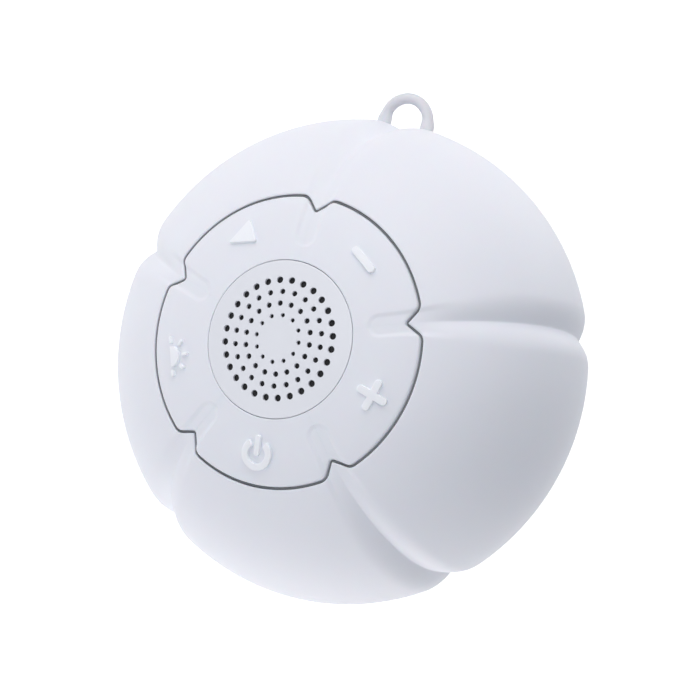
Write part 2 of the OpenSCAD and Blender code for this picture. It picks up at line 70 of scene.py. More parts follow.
@dataclass(frozen=True)
class Finish:
    """A surface finish: its colour, gloss and fine structure.

    Sizes are in millimetres: `cell` is the spacing of the fine structure and `relief` its height.
    """

    name: str
    colour: Point
    roughness: float = 0.5
    metallic: float = 0.0
    pattern: Pattern = Pattern.GRAIN
    cell: float = 0.35
    relief: float = 0.004
    mottle: float = 0.03
    sheen: float = 0.0
    coat: float = 0.0
    milky: float = 0.0
    clear: float = 0.0
    ior: float = 1.45
    accent: Point = (0.5, 0.5, 0.5)

    def material(self) -> bpy.types.Material:
        """Builds the material, or returns it if an earlier piece has built it.

        Returns:
            The material, with its fine structure in object space.
        """
        found = bpy.data.materials.get(self.name)
        if found:
            return found
        made = bpy.data.materials.new(self.name)
        made.use_nodes = True
        tree = made.node_tree
        shader = tree.nodes["Principled BSDF"]
        for socket, value in (("Metallic", self.metallic), ("IOR", self.ior),
                              ("Sheen Weight", self.sheen), ("Coat Weight", self.coat),
                              ("Coat Roughness", 0.25), ("Subsurface Weight", self.milky),
                              ("Subsurface Scale", 1.2 * MM), ("Transmission Weight", self.clear)):
            shader.inputs[socket].default_value = value
        place = tree.nodes.new("ShaderNodeTexCoord").outputs["Object"]
        fine = self._structure(tree, place)
        cloudy = self._noise(tree, place, 9.0, 2.0)
        blend = tree.nodes.new("ShaderNodeMix")
        blend.data_type = "RGBA"
        tone = 1.0 - self.mottle
        blend.inputs["A"].default_value = (*[c * tone for c in self.colour], 1.0)
        blend.inputs["B"].default_value = (*self.colour, 1.0)
        tree.links.new(cloudy, blend.inputs["Factor"])
        colour = blend.outputs["Result"]
        if self.pattern in (Pattern.TRACES, Pattern.WEAVE, Pattern.WOUND):
            inlay = tree.nodes.new("ShaderNodeMix")
            inlay.data_type = "RGBA"
            inlay.inputs["B"].default_value = (*self.accent, 1.0)
            tree.links.new(fine, inlay.inputs["Factor"])
            tree.links.new(colour, inlay.inputs["A"])
            colour = inlay.outputs["Result"]
        tree.links.new(colour, shader.inputs["Base Color"])
        gloss = tree.nodes.new("ShaderNodeMapRange")
        gloss.inputs["To Min"].default_value = max(self.roughness - 0.05, 0.02)
        gloss.inputs["To Max"].default_value = self.roughness + 0.05
        tree.links.new(self._noise(tree, place, 2.2, 1.0), gloss.inputs["Value"])
        tree.links.new(gloss.outputs["Result"], shader.inputs["Roughness"])
        bump = tree.nodes.new("ShaderNodeBump")
        bump.inputs["Distance"].default_value = self.relief * MM
        tree.links.new(fine, bump.inputs["Height"])
        tree.links.new(bump.outputs["Normal"], shader.inputs["Normal"])
        return made

    @staticmethod
    def _noise(tree: bpy.types.NodeTree, place: bpy.types.NodeSocket, size: float,
               detail: float) -> bpy.types.NodeSocket:
        """Adds a noise to a material.

        Args:
            tree: The material's nodes.
            place: Object coordinates, in metres.
            size: How far across its lumps are, in millimetres.
            detail: How many finer layers it has.

        Returns:
            The noise's value, from 0 to 1.
        """
        noise = tree.nodes.new("ShaderNodeTexNoise")
        noise.inputs["Scale"].default_value = 1.0 / (size * MM)
        noise.inputs["Detail"].default_value = detail
        tree.links.new(place, noise.inputs["Vector"])
        return noise.outputs["Fac"]

    def _structure(self, tree: bpy.types.NodeTree,
                   place: bpy.types.NodeSocket) -> bpy.types.NodeSocket:
        """Adds the finish's fine structure.

        Args:
            tree: The material's nodes.
            place: Object coordinates, in metres.

        Returns:
            A value from 0 to 1 that is the height of the fine structure.
        """
        per_metre = 1.0 / (self.cell * MM)
        if self.pattern is Pattern.GRAIN:
            return self._noise(tree, place, self.cell, 3.0)
        if self.pattern is Pattern.BRUSHED:
            turn = tree.nodes.new("ShaderNodeMapping")
            turn.inputs["Scale"].default_value = (per_metre, per_metre * 0.08, per_metre)
            tree.links.new(place, turn.inputs["Vector"])
            noise = tree.nodes.new("ShaderNodeTexNoise")
            noise.inputs["Scale"].default_value = 1.0
            tree.links.new(turn.outputs["Vector"], noise.inputs["Vector"])
            return noise.outputs["Fac"]
        if self.pattern is Pattern.TRACES:
            brick = tree.nodes.new("ShaderNodeTexBrick")
            brick.inputs["Scale"].default_value = per_metre
            brick.inputs["Mortar Size"].default_value = 0.09
            brick.inputs["Mortar Smooth"].default_value = 0.3
            tree.links.new(place, brick.inputs["Vector"])
            return brick.outputs["Fac"]
        waves = []
        for direction in ("X", "Z") if self.pattern is Pattern.WEAVE else ("Y",):
            wave = tree.nodes.new("ShaderNodeTexWave")
            wave.bands_direction = direction
            wave.inputs["Scale"].default_value = per_metre / 20.0 * math.pi
            tree.links.new(place, wave.inputs["Vector"])
            waves.append(wave.outputs["Fac"])
        if len(waves) == 1:
            return waves[0]
        over = tree.nodes.new("ShaderNodeMath")
        over.operation = "MAXIMUM"
        for wave, socket in zip(waves, over.inputs):
            tree.links.new(wave, socket)
        return over.outputs[0]


SOFT_WHITE = Finish("soft_white_silicone", (0.83, 0.84, 0.893), 0.56, cell=0.22, relief=0.0035,
                    mottle=0.012, sheen=0.12, milky=0.12)
# Painted highlight: the signs are moulded in the keys' own white; this brighter white stands in for
# the light that their raised tops catch.
SIGN_PAINTED_HIGHLIGHT = Finish("sign_white_painted_highlight", (0.92, 0.93, 0.965), 0.45, cell=0.22, relief=0.003,
                    mottle=0.01, milky=0.06)
PEARL = Finish("pearl_white_grille", (0.73, 0.742, 0.785), 0.34, cell=0.12, relief=0.003,
               mottle=0.02, metallic=0.12, coat=0.35)
# Painted shade: the loop is the body's own white; this darker copy stands in for the shade that
# falls on the thin ring.
LOOP_PAINTED_SHADE = Finish("satin_white_loop_painted_shade", (0.72, 0.73, 0.765), 0.34, cell=0.3, relief=0.002,
                    mottle=0.02, milky=0.2)
PLATE_WHITE = Finish("satin_white_plate", (0.76, 0.77, 0.79), 0.42, cell=0.3, relief=0.006,
                     mottle=0.02)
MILK_WHITE = Finish("milk_white_housing", (0.74, 0.75, 0.77), 0.45, cell=0.4, relief=0.006,
                    mottle=0.03, milky=0.25)
COVER_WHITE = Finish("soft_white_cover", (0.79, 0.80, 0.82), 0.6, cell=0.25, relief=0.005,
                     mottle=0.015, milky=0.1)
CLEAR_SILICONE = Finish("clear_silicone", (0.90, 0.93, 0.95), 0.16, cell=1.6, relief=0.006,
                        mottle=0.03, clear=0.82, ior=1.41)
GREY_RUBBER = Finish("grey_rubber", (0.42, 0.425, 0.445), 0.62, cell=0.2, relief=0.006, mottle=0.1)
MEMBRANE = Finish("milky_membrane", (0.62, 0.63, 0.64), 0.5, cell=0.5, milky=0.3)
BLACK_FOAM = Finish("black_foam", (0.018, 0.018, 0.019), 0.9, cell=0.25, relief=0.05, mottle=0.3)
BLACK_CLOTH = Finish("black_mesh_cloth", (0.006, 0.006, 0.007), 0.8, pattern=Pattern.WEAVE,
                     cell=0.16, relief=0.03, accent=(0.022, 0.022, 0.024))
ZINC = Finish("zinc_plated_steel", (0.60, 0.61, 0.62), 0.32, 1.0, Pattern.BRUSHED, 0.12, 0.003, 0.08)
BRASS = Finish("knurled_brass", (0.70, 0.50, 0.20), 0.35, 1.0, Pattern.WEAVE, 0.5, 0.06, 0.1,
               accent=(0.78, 0.60, 0.28))
SWITCH_BLACK = Finish("filled_black", (0.014, 0.014, 0.016), 0.5, cell=0.15, relief=0.006,
                      mottle=0.2)
BOARD_GREEN = Finish("green_solder_mask", (0.008, 0.075, 0.032), 0.3, 0.0, Pattern.TRACES, 0.9,
                     0.012, 0.1, coat=0.5, accent=(0.02, 0.14, 0.06))
BOARD_WHITE = Finish("white_solder_mask", (0.72, 0.72, 0.70), 0.35, 0.0, Pattern.TRACES, 1.2,
                     0.012, 0.03, coat=0.4, accent=(0.62, 0.62, 0.60))
LED_PHOSPHOR = Finish("yellow_phosphor", (0.80, 0.72, 0.30), 0.4, cell=0.1, relief=0.01, mottle=0.2,
                      milky=0.3)
CHIP_BLACK = Finish("moulded_package", (0.012, 0.012, 0.013), 0.6, cell=0.08, relief=0.006,
                    mottle=0.2)
BASKET_BLACK = Finish("black_pressed_steel", (0.022, 0.022, 0.025), 0.38, 0.2, cell=0.5,
                      relief=0.006, mottle=0.1, coat=0.3)
POLE_STEEL = Finish("plated_pole", (0.50, 0.51, 0.52), 0.3, 1.0, Pattern.BRUSHED, 0.15, 0.004, 0.08)
FERRITE = Finish("sintered_ferrite", (0.045, 0.045, 0.05), 0.7, 0.1, cell=0.3, relief=0.02,
                 mottle=0.25)
SURROUND = Finish("smooth_surround", (0.012, 0.012, 0.013), 0.45, cell=0.3, relief=0.003,
                  mottle=0.1)
CONE_PAPER = Finish("coated_paper", (0.02, 0.02, 0.023), 0.75, cell=0.35, relief=0.02, mottle=0.3)
COPPER = Finish("wound_copper", (0.62, 0.26, 0.12), 0.3, 0.9, Pattern.WOUND, 0.18, 0.03, 0.08,
                accent=(0.40, 0.15, 0.07))
CELL_WRAP = Finish("blue_shrink_film", (0.03, 0.10, 0.28), 0.25, cell=2.5, relief=0.03, mottle=0.1,
                   coat=0.4)
TRAY_BLACK = Finish("moulded_tray", (0.02, 0.02, 0.022), 0.55, cell=0.25, relief=0.008, mottle=0.2)
NICKEL = Finish("nickel_shell", (0.66, 0.65, 0.63), 0.2, 1.0, Pattern.BRUSHED, 0.1, 0.002, 0.05)
RED_PVC = Finish("red_wire_cover", (0.42, 0.015, 0.015), 0.35, cell=0.3, relief=0.003, mottle=0.06)
AMBER_FILM = Finish("amber_film", (0.48, 0.22, 0.05), 0.25, 0.0, Pattern.WOUND, 0.6, 0.01, 0.05,
                    coat=0.3, accent=(0.62, 0.34, 0.12))


# ---------- the bench ----------


class Bench:
    """What a maker does to any piece: pick, place, cut, round, join, and stand it on the wall."""

    WALL_DROP = 38.0

    @classmethod
    def room(cls) -> Matrix:
        """The turn and scale that stand a bench piece on its wall, in metres."""
        turn = Matrix.Rotation(math.radians(90), 4, "X")
        return Matrix.Scale(MM, 4) @ Matrix.Translation((0, -cls.WALL_DROP, 0)) @ turn

    @staticmethod
    def select(*pieces: bpy.types.Object) -> bpy.types.Object:
        """Selects only these pieces and makes the first one active.

        Args:
            *pieces: The pieces to select.

        Returns:
            The first one.
        """
        bpy.ops.object.select_all(action="DESELECT")
        for piece in pieces:
            piece.select_set(True)
        bpy.context.view_layer.objects.active = pieces[0]
        return pieces[0]

    @staticmethod
    def take(name: str) -> bpy.types.Object:
        """Takes the primitive that was just added and applies its place to its mesh.

        Args:
            name: Its new name.

        Returns:
            The primitive.
        """
        piece = bpy.context.object
        piece.name = piece.data.name = name
        bpy.ops.object.transform_apply(location=True, rotation=True, scale=True)
        return piece

    @classmethod
    def pick(cls, piece: bpy.types.Object, test: Callable[[Vector], bool],
             faces: bool = False) -> None:
        """Enters edit mode with only the vertices or faces chosen whose place passes a test.

        Args:
            piece: The piece to edit.
            test: Takes a vertex's place, or a face's middle, and says whether to pick it.
            faces: Pick faces rather than vertices.
        """
        cls.select(piece)
        mesh = piece.data
        for group in (mesh.vertices, mesh.edges, mesh.polygons):
            group.foreach_set("select", [False] * len(group))
        kind = "FACE" if faces else "VERT"
        bpy.ops.object.mode_set(mode="EDIT")
        bpy.ops.mesh.select_mode(type=kind)
        bpy.ops.mesh.select_all(action="DESELECT")
        bpy.ops.object.mode_set(mode="OBJECT")
        for item in mesh.polygons if faces else mesh.vertices:
            item.select = test(item.center if faces else item.co)
        bpy.ops.object.mode_set(mode="EDIT")

    @classmethod
    def pick_edges(cls, piece: bpy.types.Object, test: Callable[[Vector, Vector], bool]) -> None:
        """Enters edit mode with only the edges chosen whose two ends pass a test.

        Args:
            piece: The piece to edit.
            test: Takes the places of an edge's two ends and says whether to pick it.
        """
        cls.pick(piece, lambda place: False)
        bpy.ops.mesh.select_mode(type="EDGE")
        cls.done()
        places = [vertex.co for vertex in piece.data.vertices]
        for edge in piece.data.edges:
            edge.select = test(*(places[i] for i in edge.vertices))
        bpy.ops.object.mode_set(mode="EDIT")

    @staticmethod
    def upright(one: Vector, other: Vector) -> bool:
        """Whether an edge between two places runs along the bench's Z axis."""
        return abs(one.z - other.z) > 0.99 * (one - other).length

    @staticmethod
    def done() -> None:
        """Leaves edit mode."""
        bpy.ops.object.mode_set(mode="OBJECT")

    @classmethod
    def modify(cls, piece: bpy.types.Object, kind: str, **settings: object) -> bpy.types.Object:
        """Adds a modifier with these settings and applies it.

        Args:
            piece: The piece to change.
            kind: The modifier's type.
            **settings: The modifier's properties.

        Returns:
            The same piece.
        """
        cls.select(piece)
        modifier = piece.modifiers.new(kind.lower(), kind)
        for key, value in settings.items():
            setattr(modifier, key, value)
        bpy.ops.object.modifier_apply(modifier=modifier.name)
        return piece

    @classmethod
    def cut(cls, piece: bpy.types.Object, *tools: bpy.types.Object) -> bpy.types.Object:
        """Cuts the tools out of a piece, and removes the tools.

        Args:
            piece: The piece to cut.
            *tools: Closed shapes that lie where the cuts go.

        Returns:
            The cut piece.
        """
        for tool in tools:
            cls.modify(piece, "BOOLEAN", object=tool, operation="DIFFERENCE", solver="EXACT")
            bpy.data.objects.remove(tool)
        return piece

    @classmethod
    def round_edges(cls, piece: bpy.types.Object, width: float, segments: int = 3,
                    angle: float = 40.0) -> bpy.types.Object:
        """Rounds each edge sharper than an angle, and returns the piece."""
        return cls.modify(piece, "BEVEL", width=width, segments=segments, limit_method="ANGLE",
                          angle_limit=math.radians(angle), use_clamp_overlap=True)

    @classmethod
    def mend(cls, piece: bpy.types.Object, gap: float = 1e-4) -> bpy.types.Object:
        """Merges doubled vertices and turns every face outwards.

        Args:
            piece: A closed piece on the bench.
            gap: Vertices closer than this are merged, in millimetres.

        Returns:
            The same piece.
        """
        cls.pick(piece, lambda place: True)
        bpy.ops.mesh.select_all(action="SELECT")
        bpy.ops.mesh.remove_doubles(threshold=gap)
        bpy.ops.mesh.normals_make_consistent(inside=False)
        cls.done()
        return piece

    @classmethod
    def sheet(cls, name: str, places: Array) -> bpy.types.Object:
        """Adds a grid and moves its vertices to their places.

        Args:
            name: The piece's name.
            places: Rows by columns by 3, in millimetres.

        Returns:
            The piece, with rows and columns that meet merged.
        """
        rows, columns, _ = places.shape
        bpy.ops.mesh.primitive_grid_add(x_subdivisions=columns - 1, y_subdivisions=rows - 1)
        piece = cls.take(name)
        piece.data.vertices.foreach_set("co", places.reshape(-1))
        return cls.mend(piece)

    @classmethod
    def lathe(cls, name: str, outline: Sequence[tuple[float, float]],
              steps: int = 96) -> bpy.types.Object:
        """Turns a closed outline round the bench's Z axis.

        Args:
            name: The piece's name.
            outline: Radius and height of each point, in millimetres.
            steps: How many columns the turned piece has.

        Returns:
            The closed piece.
        """
        bpy.ops.mesh.primitive_plane_add(size=1.0)
        piece = cls.take(name)
        cls.pick(piece, lambda place: place.x + place.y < 0.9)
        bpy.ops.mesh.delete(type="VERT")
        cls.done()
        piece.data.vertices[0].co = (outline[0][0], 0.0, outline[0][1])
        cls.pick(piece, lambda place: True)
        for (r0, z0), (r1, z1) in zip(outline, outline[1:]):
            bpy.ops.mesh.extrude_region_move(
                TRANSFORM_OT_translate={"value": (r1 - r0, 0.0, z1 - z0)})
        bpy.ops.mesh.select_all(action="SELECT")
        bpy.ops.mesh.spin(steps=steps, angle=math.tau, center=(0, 0, 0), axis=(0, 0, 1))
        cls.done()
        return cls.mend(piece)

    @classmethod
    def block(cls, name: str, size: Point, middle: Point, corner: float = 0.0,
              corner_steps: int = 6) -> bpy.types.Object:
        """Adds a box whose upright edges are rounded.

        Args:
            name: The piece's name.
            size: Its three sizes, in millimetres.
            middle: Its middle.
            corner: Radius of the upright edges.
            corner_steps: Segments of each rounded edge.

        Returns:
            The box.
        """
        bpy.ops.mesh.primitive_cube_add(size=1.0)
        piece = cls.take(name)
        cls.pick(piece, lambda place: True)
        bpy.ops.mesh.select_all(action="SELECT")
        bpy.ops.transform.resize(value=size)
        bpy.ops.transform.translate(value=middle)
        cls.done()
        if corner:
            cls.pick_edges(piece, cls.upright)
            bpy.ops.mesh.bevel(offset=corner, segments=corner_steps)
            cls.done()
        return piece

    @classmethod
    def rod(cls, name: str, radius: float, bottom: float, top: float,
            place: tuple[float, float] = (0.0, 0.0), sides: int = 48) -> bpy.types.Object:
        """Adds an upright cylinder.

        Args:
            name: The piece's name.
            radius: Its radius, in millimetres.
            bottom: Height of its lower end.
            top: Height of its upper end.
            place: X and Y of its axis.
            sides: How many sides it has.

        Returns:
            The cylinder.
        """
        bpy.ops.mesh.primitive_cylinder_add(
            vertices=sides, radius=radius, depth=top - bottom,
            location=(*place, (top + bottom) / 2))
        return cls.take(name)

    @classmethod
    def join(cls, name: str, pieces: Sequence[bpy.types.Object]) -> bpy.types.Object:
        """Joins pieces into the first one, and renames it.

        Args:
            name: The joined piece's name.
            pieces: The pieces to join.

        Returns:
            The joined piece.
        """
        piece = cls.select(*pieces)
        if len(pieces) > 1:
            bpy.ops.object.join()
        piece.name = piece.data.name = name
        return piece

    @classmethod
    def copies(cls, piece: bpy.types.Object, moves: Iterable[Matrix]) -> list[bpy.types.Object]:
        """Copies a piece to each place, and removes the first one.

        Args:
            piece: The piece to copy.
            moves: Where each copy goes.

        Returns:
            The copies, each with its own mesh.
        """
        made = []
        for move in moves:
            cls.select(piece)
            bpy.ops.object.duplicate(linked=False)
            copy = bpy.context.object
            copy.data.transform(move)
            made.append(copy)
        bpy.data.objects.remove(piece)
        return made

    @classmethod
    def stand(cls, piece: bpy.types.Object, body: str, slot: str, finish: Finish,
              *replaced: str, sharp: float = 35.0) -> bpy.types.Object:
        """Dresses a finished piece, stands it on the wall and ties it to its body.

        Args:
            piece: The piece, in bench millimetres.
            body: The body that it moves with.
            slot: The record's material slot; not used.
            finish: Its finish.
            *replaced: The CAD nodes that it stands for.
            sharp: Edges over this many degrees stay crisp.

        Returns:
            The same piece.
        """
        piece.data.transform(cls.room())
        cls.select(piece)
        bpy.ops.object.shade_smooth_by_angle(angle=math.radians(sharp))
        piece.data.materials.clear()
        piece.data.materials.append(finish.material())
        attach(piece, body)
        if replaced:
            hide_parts(*replaced)
        LOG.info("%s: %d faces, %s", piece.name, len(piece.data.polygons), finish.name)
        return piece

    @staticmethod
    def dress(finish: Finish, *nodes: str) -> None:
        """Gives a finish to CAD nodes, whose shape stays as it is.

        Args:
            finish: The finish.
            *nodes: The names of the nodes.
        """
        for node in nodes:
            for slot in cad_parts[node].material_slots:
                slot.material = finish.material()
            LOG.info("%s: kept, %s", node, finish.name)


def ease(value: Array, low: float, high: float) -> Array:
    """Rises smoothly from 0 at `low` to 1 at `high`."""
    t = np.clip((value - low) / (high - low), 0.0, 1.0)
    return t * t * (3.0 - 2.0 * t)


def turned(angle: float, radius: float = 0.0) -> Matrix:
    """A move out along X by a radius, and then round the axis by an angle in degrees."""
    return Matrix.Rotation(math.radians(angle), 4, "Z") @ Matrix.Translation((radius, 0, 0))


# ---------- the body's form ----------

LIP_BENDS = np.radians(np.linspace(0.0, 90.0, 7))


@dataclass
class BodyShape:
    """The speaker's outer form: a shallow dome, a round shoulder and five grooves.

    Each pair named after what a groove does is the slope of the side view, in degrees, at which
    that change begins and the slope at which it is complete.
    """

    radius: float = 45.0
    front_rise: float = 31.8
    rear_drop: float = 27.5
    dome_r: float = 95.0
    shoulder_r: float = 30.06
    shoulder_x: float = 14.94
    rear_tilt: float = 156.2
    corner_r: float = 2.5
    blend: float = 5.0
    lobes: int = 5
    first_crease: float = 18.0
    valley_depth: float = 0.24
    valley_half_w: float = 2.4
    valley_end_r: float = 19.6
    valley_flat: float = 0.6
    valley_fades: tuple[float, float] = (30.0, 80.0)
    groove_half_w: float = 5.5
    groove_rear_half_w: float = 3.5
    groove_depth: float = 2.8
    groove_lift: float = 0.70
    groove_face_depth: float = 0.127
    groove_widens: tuple[float, float] = (12.0, 62.0)
    groove_narrows: tuple[float, float] = (105.0, 156.0)
    groove_sharpens: tuple[float, float] = (16.0, 38.0)
    crease_round: float = 0.22
    even_share: float = 0.12
    panel_r: float = 26.75
    notch_r: float = 23.95
    notch_half_angle: float = 46.0
    shoulder_round: float = 1.8
    tip_round: float = 0.75
    seam_gap: float = 0.5
    arc: Array = field(init=False)
    reach: Array = field(init=False)
    height: Array = field(init=False)
    tilt: Array = field(init=False)

    def __post_init__(self) -> None:
        """Runs the side view out from the crown, one short step after another."""
        step = 0.02
        tangent = math.asin(self.shoulder_x / (self.dome_r - self.shoulder_r))
        dome_end = self.dome_r * tangent
        turn = math.radians(180 - self.rear_tilt)
        corner_start = (dome_end + self.shoulder_r * (math.radians(self.rear_tilt) - tangent)
                        - self.corner_r * math.tan(turn / 2))
        arc = np.arange(0.0, corner_start + 10.0, step)
        bend = 1 / self.dome_r + (1 / self.shoulder_r - 1 / self.dome_r) * ease(
            arc, dome_end - self.blend / 2, dome_end + self.blend / 2)
        bend = np.where(arc > corner_start, 1 / self.corner_r, bend)
        tilt = np.minimum(np.cumsum(bend) * step, math.pi)
        reach = np.cumsum(np.cos(tilt)) * step
        height = -np.cumsum(np.sin(tilt)) * step
        widest = height[np.argmax(reach)]
        front = (height - widest) * self.front_rise / -widest
        back = (height - widest) * self.rear_drop / (widest - height[-1])
        self.arc, self.tilt = arc, tilt
        self.reach = reach * self.radius / reach.max()
        self.height = np.where(height > widest, front, back)

    def arc_at(self, reach: Array) -> Array:
        """Distance along the side view at which the front has this radius."""
        front = slice(0, int(np.argmax(self.reach)))
        return np.interp(reach, self.reach[front], self.arc[front])

    def rear_arc_at(self, reach: float) -> float:
        """Distance along the side view at which the flat rear has this radius."""
        back = slice(int(np.argmax(self.reach)), None)
        return float(np.interp(-reach, -self.reach[back], self.arc[back]))

    def off_crease(self, angle: Array) -> Array:
        """Angle in degrees to the nearest crease."""
        lobe = 360.0 / self.lobes
        return np.abs((angle - self.first_crease + lobe / 2) % lobe - lobe / 2)

    def sink(self, reach: Array, tilt: Array, angle: Array) -> Array:
        """How far grooves and valleys lie below the plain form.

        Args:
            reach: Radius of the plain form, in millimetres.
            tilt: Slope of the side view there, in radians.
            angle: Angle round the axis, in degrees.

        Returns:
            Depths, in millimetres.
        """
        off = np.radians(self.off_crease(angle))
        slope = np.degrees(tilt)
        groove = np.clip(self.groove_depth * np.sin(tilt) - self.groove_lift
                         + self.groove_face_depth * np.cos(tilt) ** 2, 0.0, None)
        valley = self.valley_depth * (1.0 - ease(slope, *self.valley_fades))
        depth = np.cbrt(groove ** 3 + valley ** 3)
        wide = (self.valley_half_w
                + (self.groove_half_w - self.valley_half_w) * ease(slope, *self.groove_widens)
                - (self.groove_half_w - self.groove_rear_half_w)
                * ease(slope, *self.groove_narrows))
        aside = np.hypot(np.minimum(reach * np.cos(off) - self.valley_end_r, 0.0),
                         reach * np.sin(off))
        x = np.clip(aside / wide, 0.0, 1.0)
        soft = self.crease_round / wide
        cusp = (np.sqrt(x * x + soft * soft) - soft) / (np.sqrt(1 + soft * soft) - soft)
        keen = ease(slope, *self.groove_sharpens)
        return depth * (keen * (1.0 - cusp) ** 2
                        + (1.0 - keen) * (1.0 - ease(x, self.valley_flat, 1.0)))

    def surface(self, arc: Array, angle: Array, inward: float = 0.0) -> Array:
        """Places on the lobed form.

        Args:
            arc: Distance along the side view from the crown.
            angle: Angle round the axis, in degrees.
            inward: How far below the surface.

        Returns:
            Points, in bench millimetres.
        """
        reach, height, tilt = (np.interp(arc, self.arc, row)
                               for row in (self.reach, self.height, self.tilt))
        down = self.sink(reach, tilt, angle) + inward
        out = reach - down * np.sin(tilt)
        turn = np.radians(angle)
        return np.stack([out * np.cos(turn), out * np.sin(turn), height - down * np.cos(tilt)], -1)

    def edge(self, angle: Array, grow: float) -> Array:
        """The notched outline of the key panel.

        Args:
            angle: Angle round the axis, in degrees.
            grow: How far outward the outline is moved, in millimetres.

        Returns:
            Its radius at each angle, in millimetres.
        """
        off = np.radians(self.off_crease(angle))
        half = math.radians(self.notch_half_angle)
        line_start = self.notch_r + grow / math.sin(half)
        line = line_start * math.sin(half) / np.sin(np.maximum(half - off, 0.05))
        tip_r = self.tip_round - grow
        if tip_r > 0:
            centre = self.notch_r + self.tip_round / math.sin(half)
            tip_end = math.atan2(tip_r * math.cos(half), centre - tip_r * math.sin(half))
            inside = np.clip(tip_r ** 2 - (centre * np.sin(off)) ** 2, 0.0, None)
            line = np.where(off < tip_end, centre * np.cos(off) - np.sqrt(inside), line)
        knee = self.panel_r - self.shoulder_round
        bearing = half + math.asin((self.shoulder_round - self.notch_r * math.sin(half)) / knee)
        round_r = self.shoulder_round + grow
        touch_x = knee * math.cos(bearing) + round_r * math.sin(half)
        touch_y = knee * math.sin(bearing) - round_r * math.cos(half)
        inside = np.clip(round_r ** 2 - (knee * np.sin(off - bearing)) ** 2, 0.0, None)
        corner = knee * np.cos(off - bearing) + np.sqrt(inside)
        return np.select([off < math.atan2(touch_y, touch_x), off < bearing],
                         [line, corner], self.panel_r + grow)

    def rim(self, angle: Array, grow: float, depth: float) -> Array:
        """Points beside the key panel's outline.

        Args:
            angle: Angle round the axis, in degrees.
            grow: How far outside the outline, in millimetres.
            depth: How far below the surface.

        Returns:
            Points, in bench millimetres.
        """
        place = self.surface(self.arc_at(self.edge(angle, grow)), angle)
        place[..., 2] -= depth
        return place

    def columns(self, per_half: int) -> Array:
        """Spaces the columns of a mesh, close beside the creases and wider on a lobe's back.

        Args:
            per_half: Columns from a crease to the middle of a lobe.

        Returns:
            Angles from one crease to the next, in degrees.
        """
        t = np.linspace(0.0, 1.0, per_half + 1)
        half = 180.0 / self.lobes * (self.even_share * t + (1.0 - self.even_share) * t * t)
        lobe = 360.0 / self.lobes
        return np.concatenate([half, lobe - half[-2::-1]])

    def round_trip(self, per_half: int) -> Array:
        """Spaces the columns of a mesh all the way round.

        Args:
            per_half: Columns from a crease to the middle of a lobe.

        Returns:
            Angles of one full turn from the first crease, both ends included, in degrees.
        """
        lobe = self.columns(per_half)[:-1]
        step = 360.0 / self.lobes
        turns = self.first_crease + np.concatenate([lobe + i * step for i in range(self.lobes)])
        return np.append(turns, self.first_crease + 360.0)


@dataclass
class OuterSkin:
    """The soft one-piece skin, from the seam round the keys to its lip under the rear plate."""

    shape: BodyShape
    thickness: float = 1.5
    lip: float = 0.42
    rear_hole_r: float = 22.0
    rear_lip: float = 0.4
    rear_inset: float = 1.5
    undercut: float = 1.0
    wall_depths: tuple[float, float] = (1.1, 0.7)
    row_crowding: float = 1.1
    per_half: int = 56
    rows: int = 118
    inner_rows: int = 14

    def build(self, port: "ChargingPort") -> None:
        """Shapes the skin, cuts the port's window out of it and dresses it.

        Args:
            port: The charging port, which gives the window's cutter.
        """
        shape = self.shape
        turns = shape.round_trip(self.per_half)
        rows = [shape.rim(turns, shape.seam_gap, depth)
                for depth in (self.thickness, *self.wall_depths)]
        for bend in LIP_BENDS[::-1]:
            rows.append(shape.rim(turns, shape.seam_gap + self.lip * (1 - math.sin(bend)),
                                  self.lip * (1 - math.cos(bend))))
        start = shape.arc_at(shape.edge(turns, shape.seam_gap + self.lip))
        end = shape.rear_arc_at(self.rear_hole_r + self.rear_lip)
        for t in np.linspace(0.0, 1.0, self.rows + 1)[1:]:
            rows.append(shape.surface(start + (end - start) * t ** self.row_crowding, turns))
        for bend in np.radians((30.0, 60.0, 90.0)):
            rows.append(self._rear_ring(turns, self.rear_lip * (1 - math.sin(bend)),
                                        self.rear_lip * (1 - math.cos(bend))))
        rows.append(self._rear_ring(turns, 0.0, self.thickness))
        inner_start = shape.arc_at(shape.edge(turns, shape.seam_gap + self.undercut))
        inner_end = shape.rear_arc_at(self.rear_hole_r + self.rear_inset)
        for t in np.linspace(1.0, 0.0, self.inner_rows):
            rows.append(shape.surface(inner_start + (inner_end - inner_start) * t, turns,
                                      self.thickness))
        rows.append(rows[0])
        skin = Bench.sheet("outer_skin_lobed", np.stack(rows))
        Bench.cut(skin, port.window_tool())
        Bench.stand(skin, "housing", "skin_silicone", SOFT_WHITE, "outer_skin", sharp=40.0)

    def _rear_ring(self, turns: Array, out: float, up: float) -> Array:
        """Points of the rear hole's edge.

        Args:
            turns: Angles round the axis, in degrees.
            out: How far outside the hole, in millimetres.
            up: How far above the flat rear.

        Returns:
            Points, in bench millimetres.
        """
        radius = self.rear_hole_r + out
        angle = np.radians(turns)
        return np.stack([radius * np.cos(angle), radius * np.sin(angle),
                         np.full_like(angle, up - self.shape.rear_drop)], -1)


# ---------- the keys ----------


class Symbol(Enum):
    """The raised sign on each key, with the key's angle round the axis in degrees."""

    MINUS = 54.0
    PLAY = 126.0
    LAMP = 198.0
    POWER = 270.0
    PLUS = 342.0


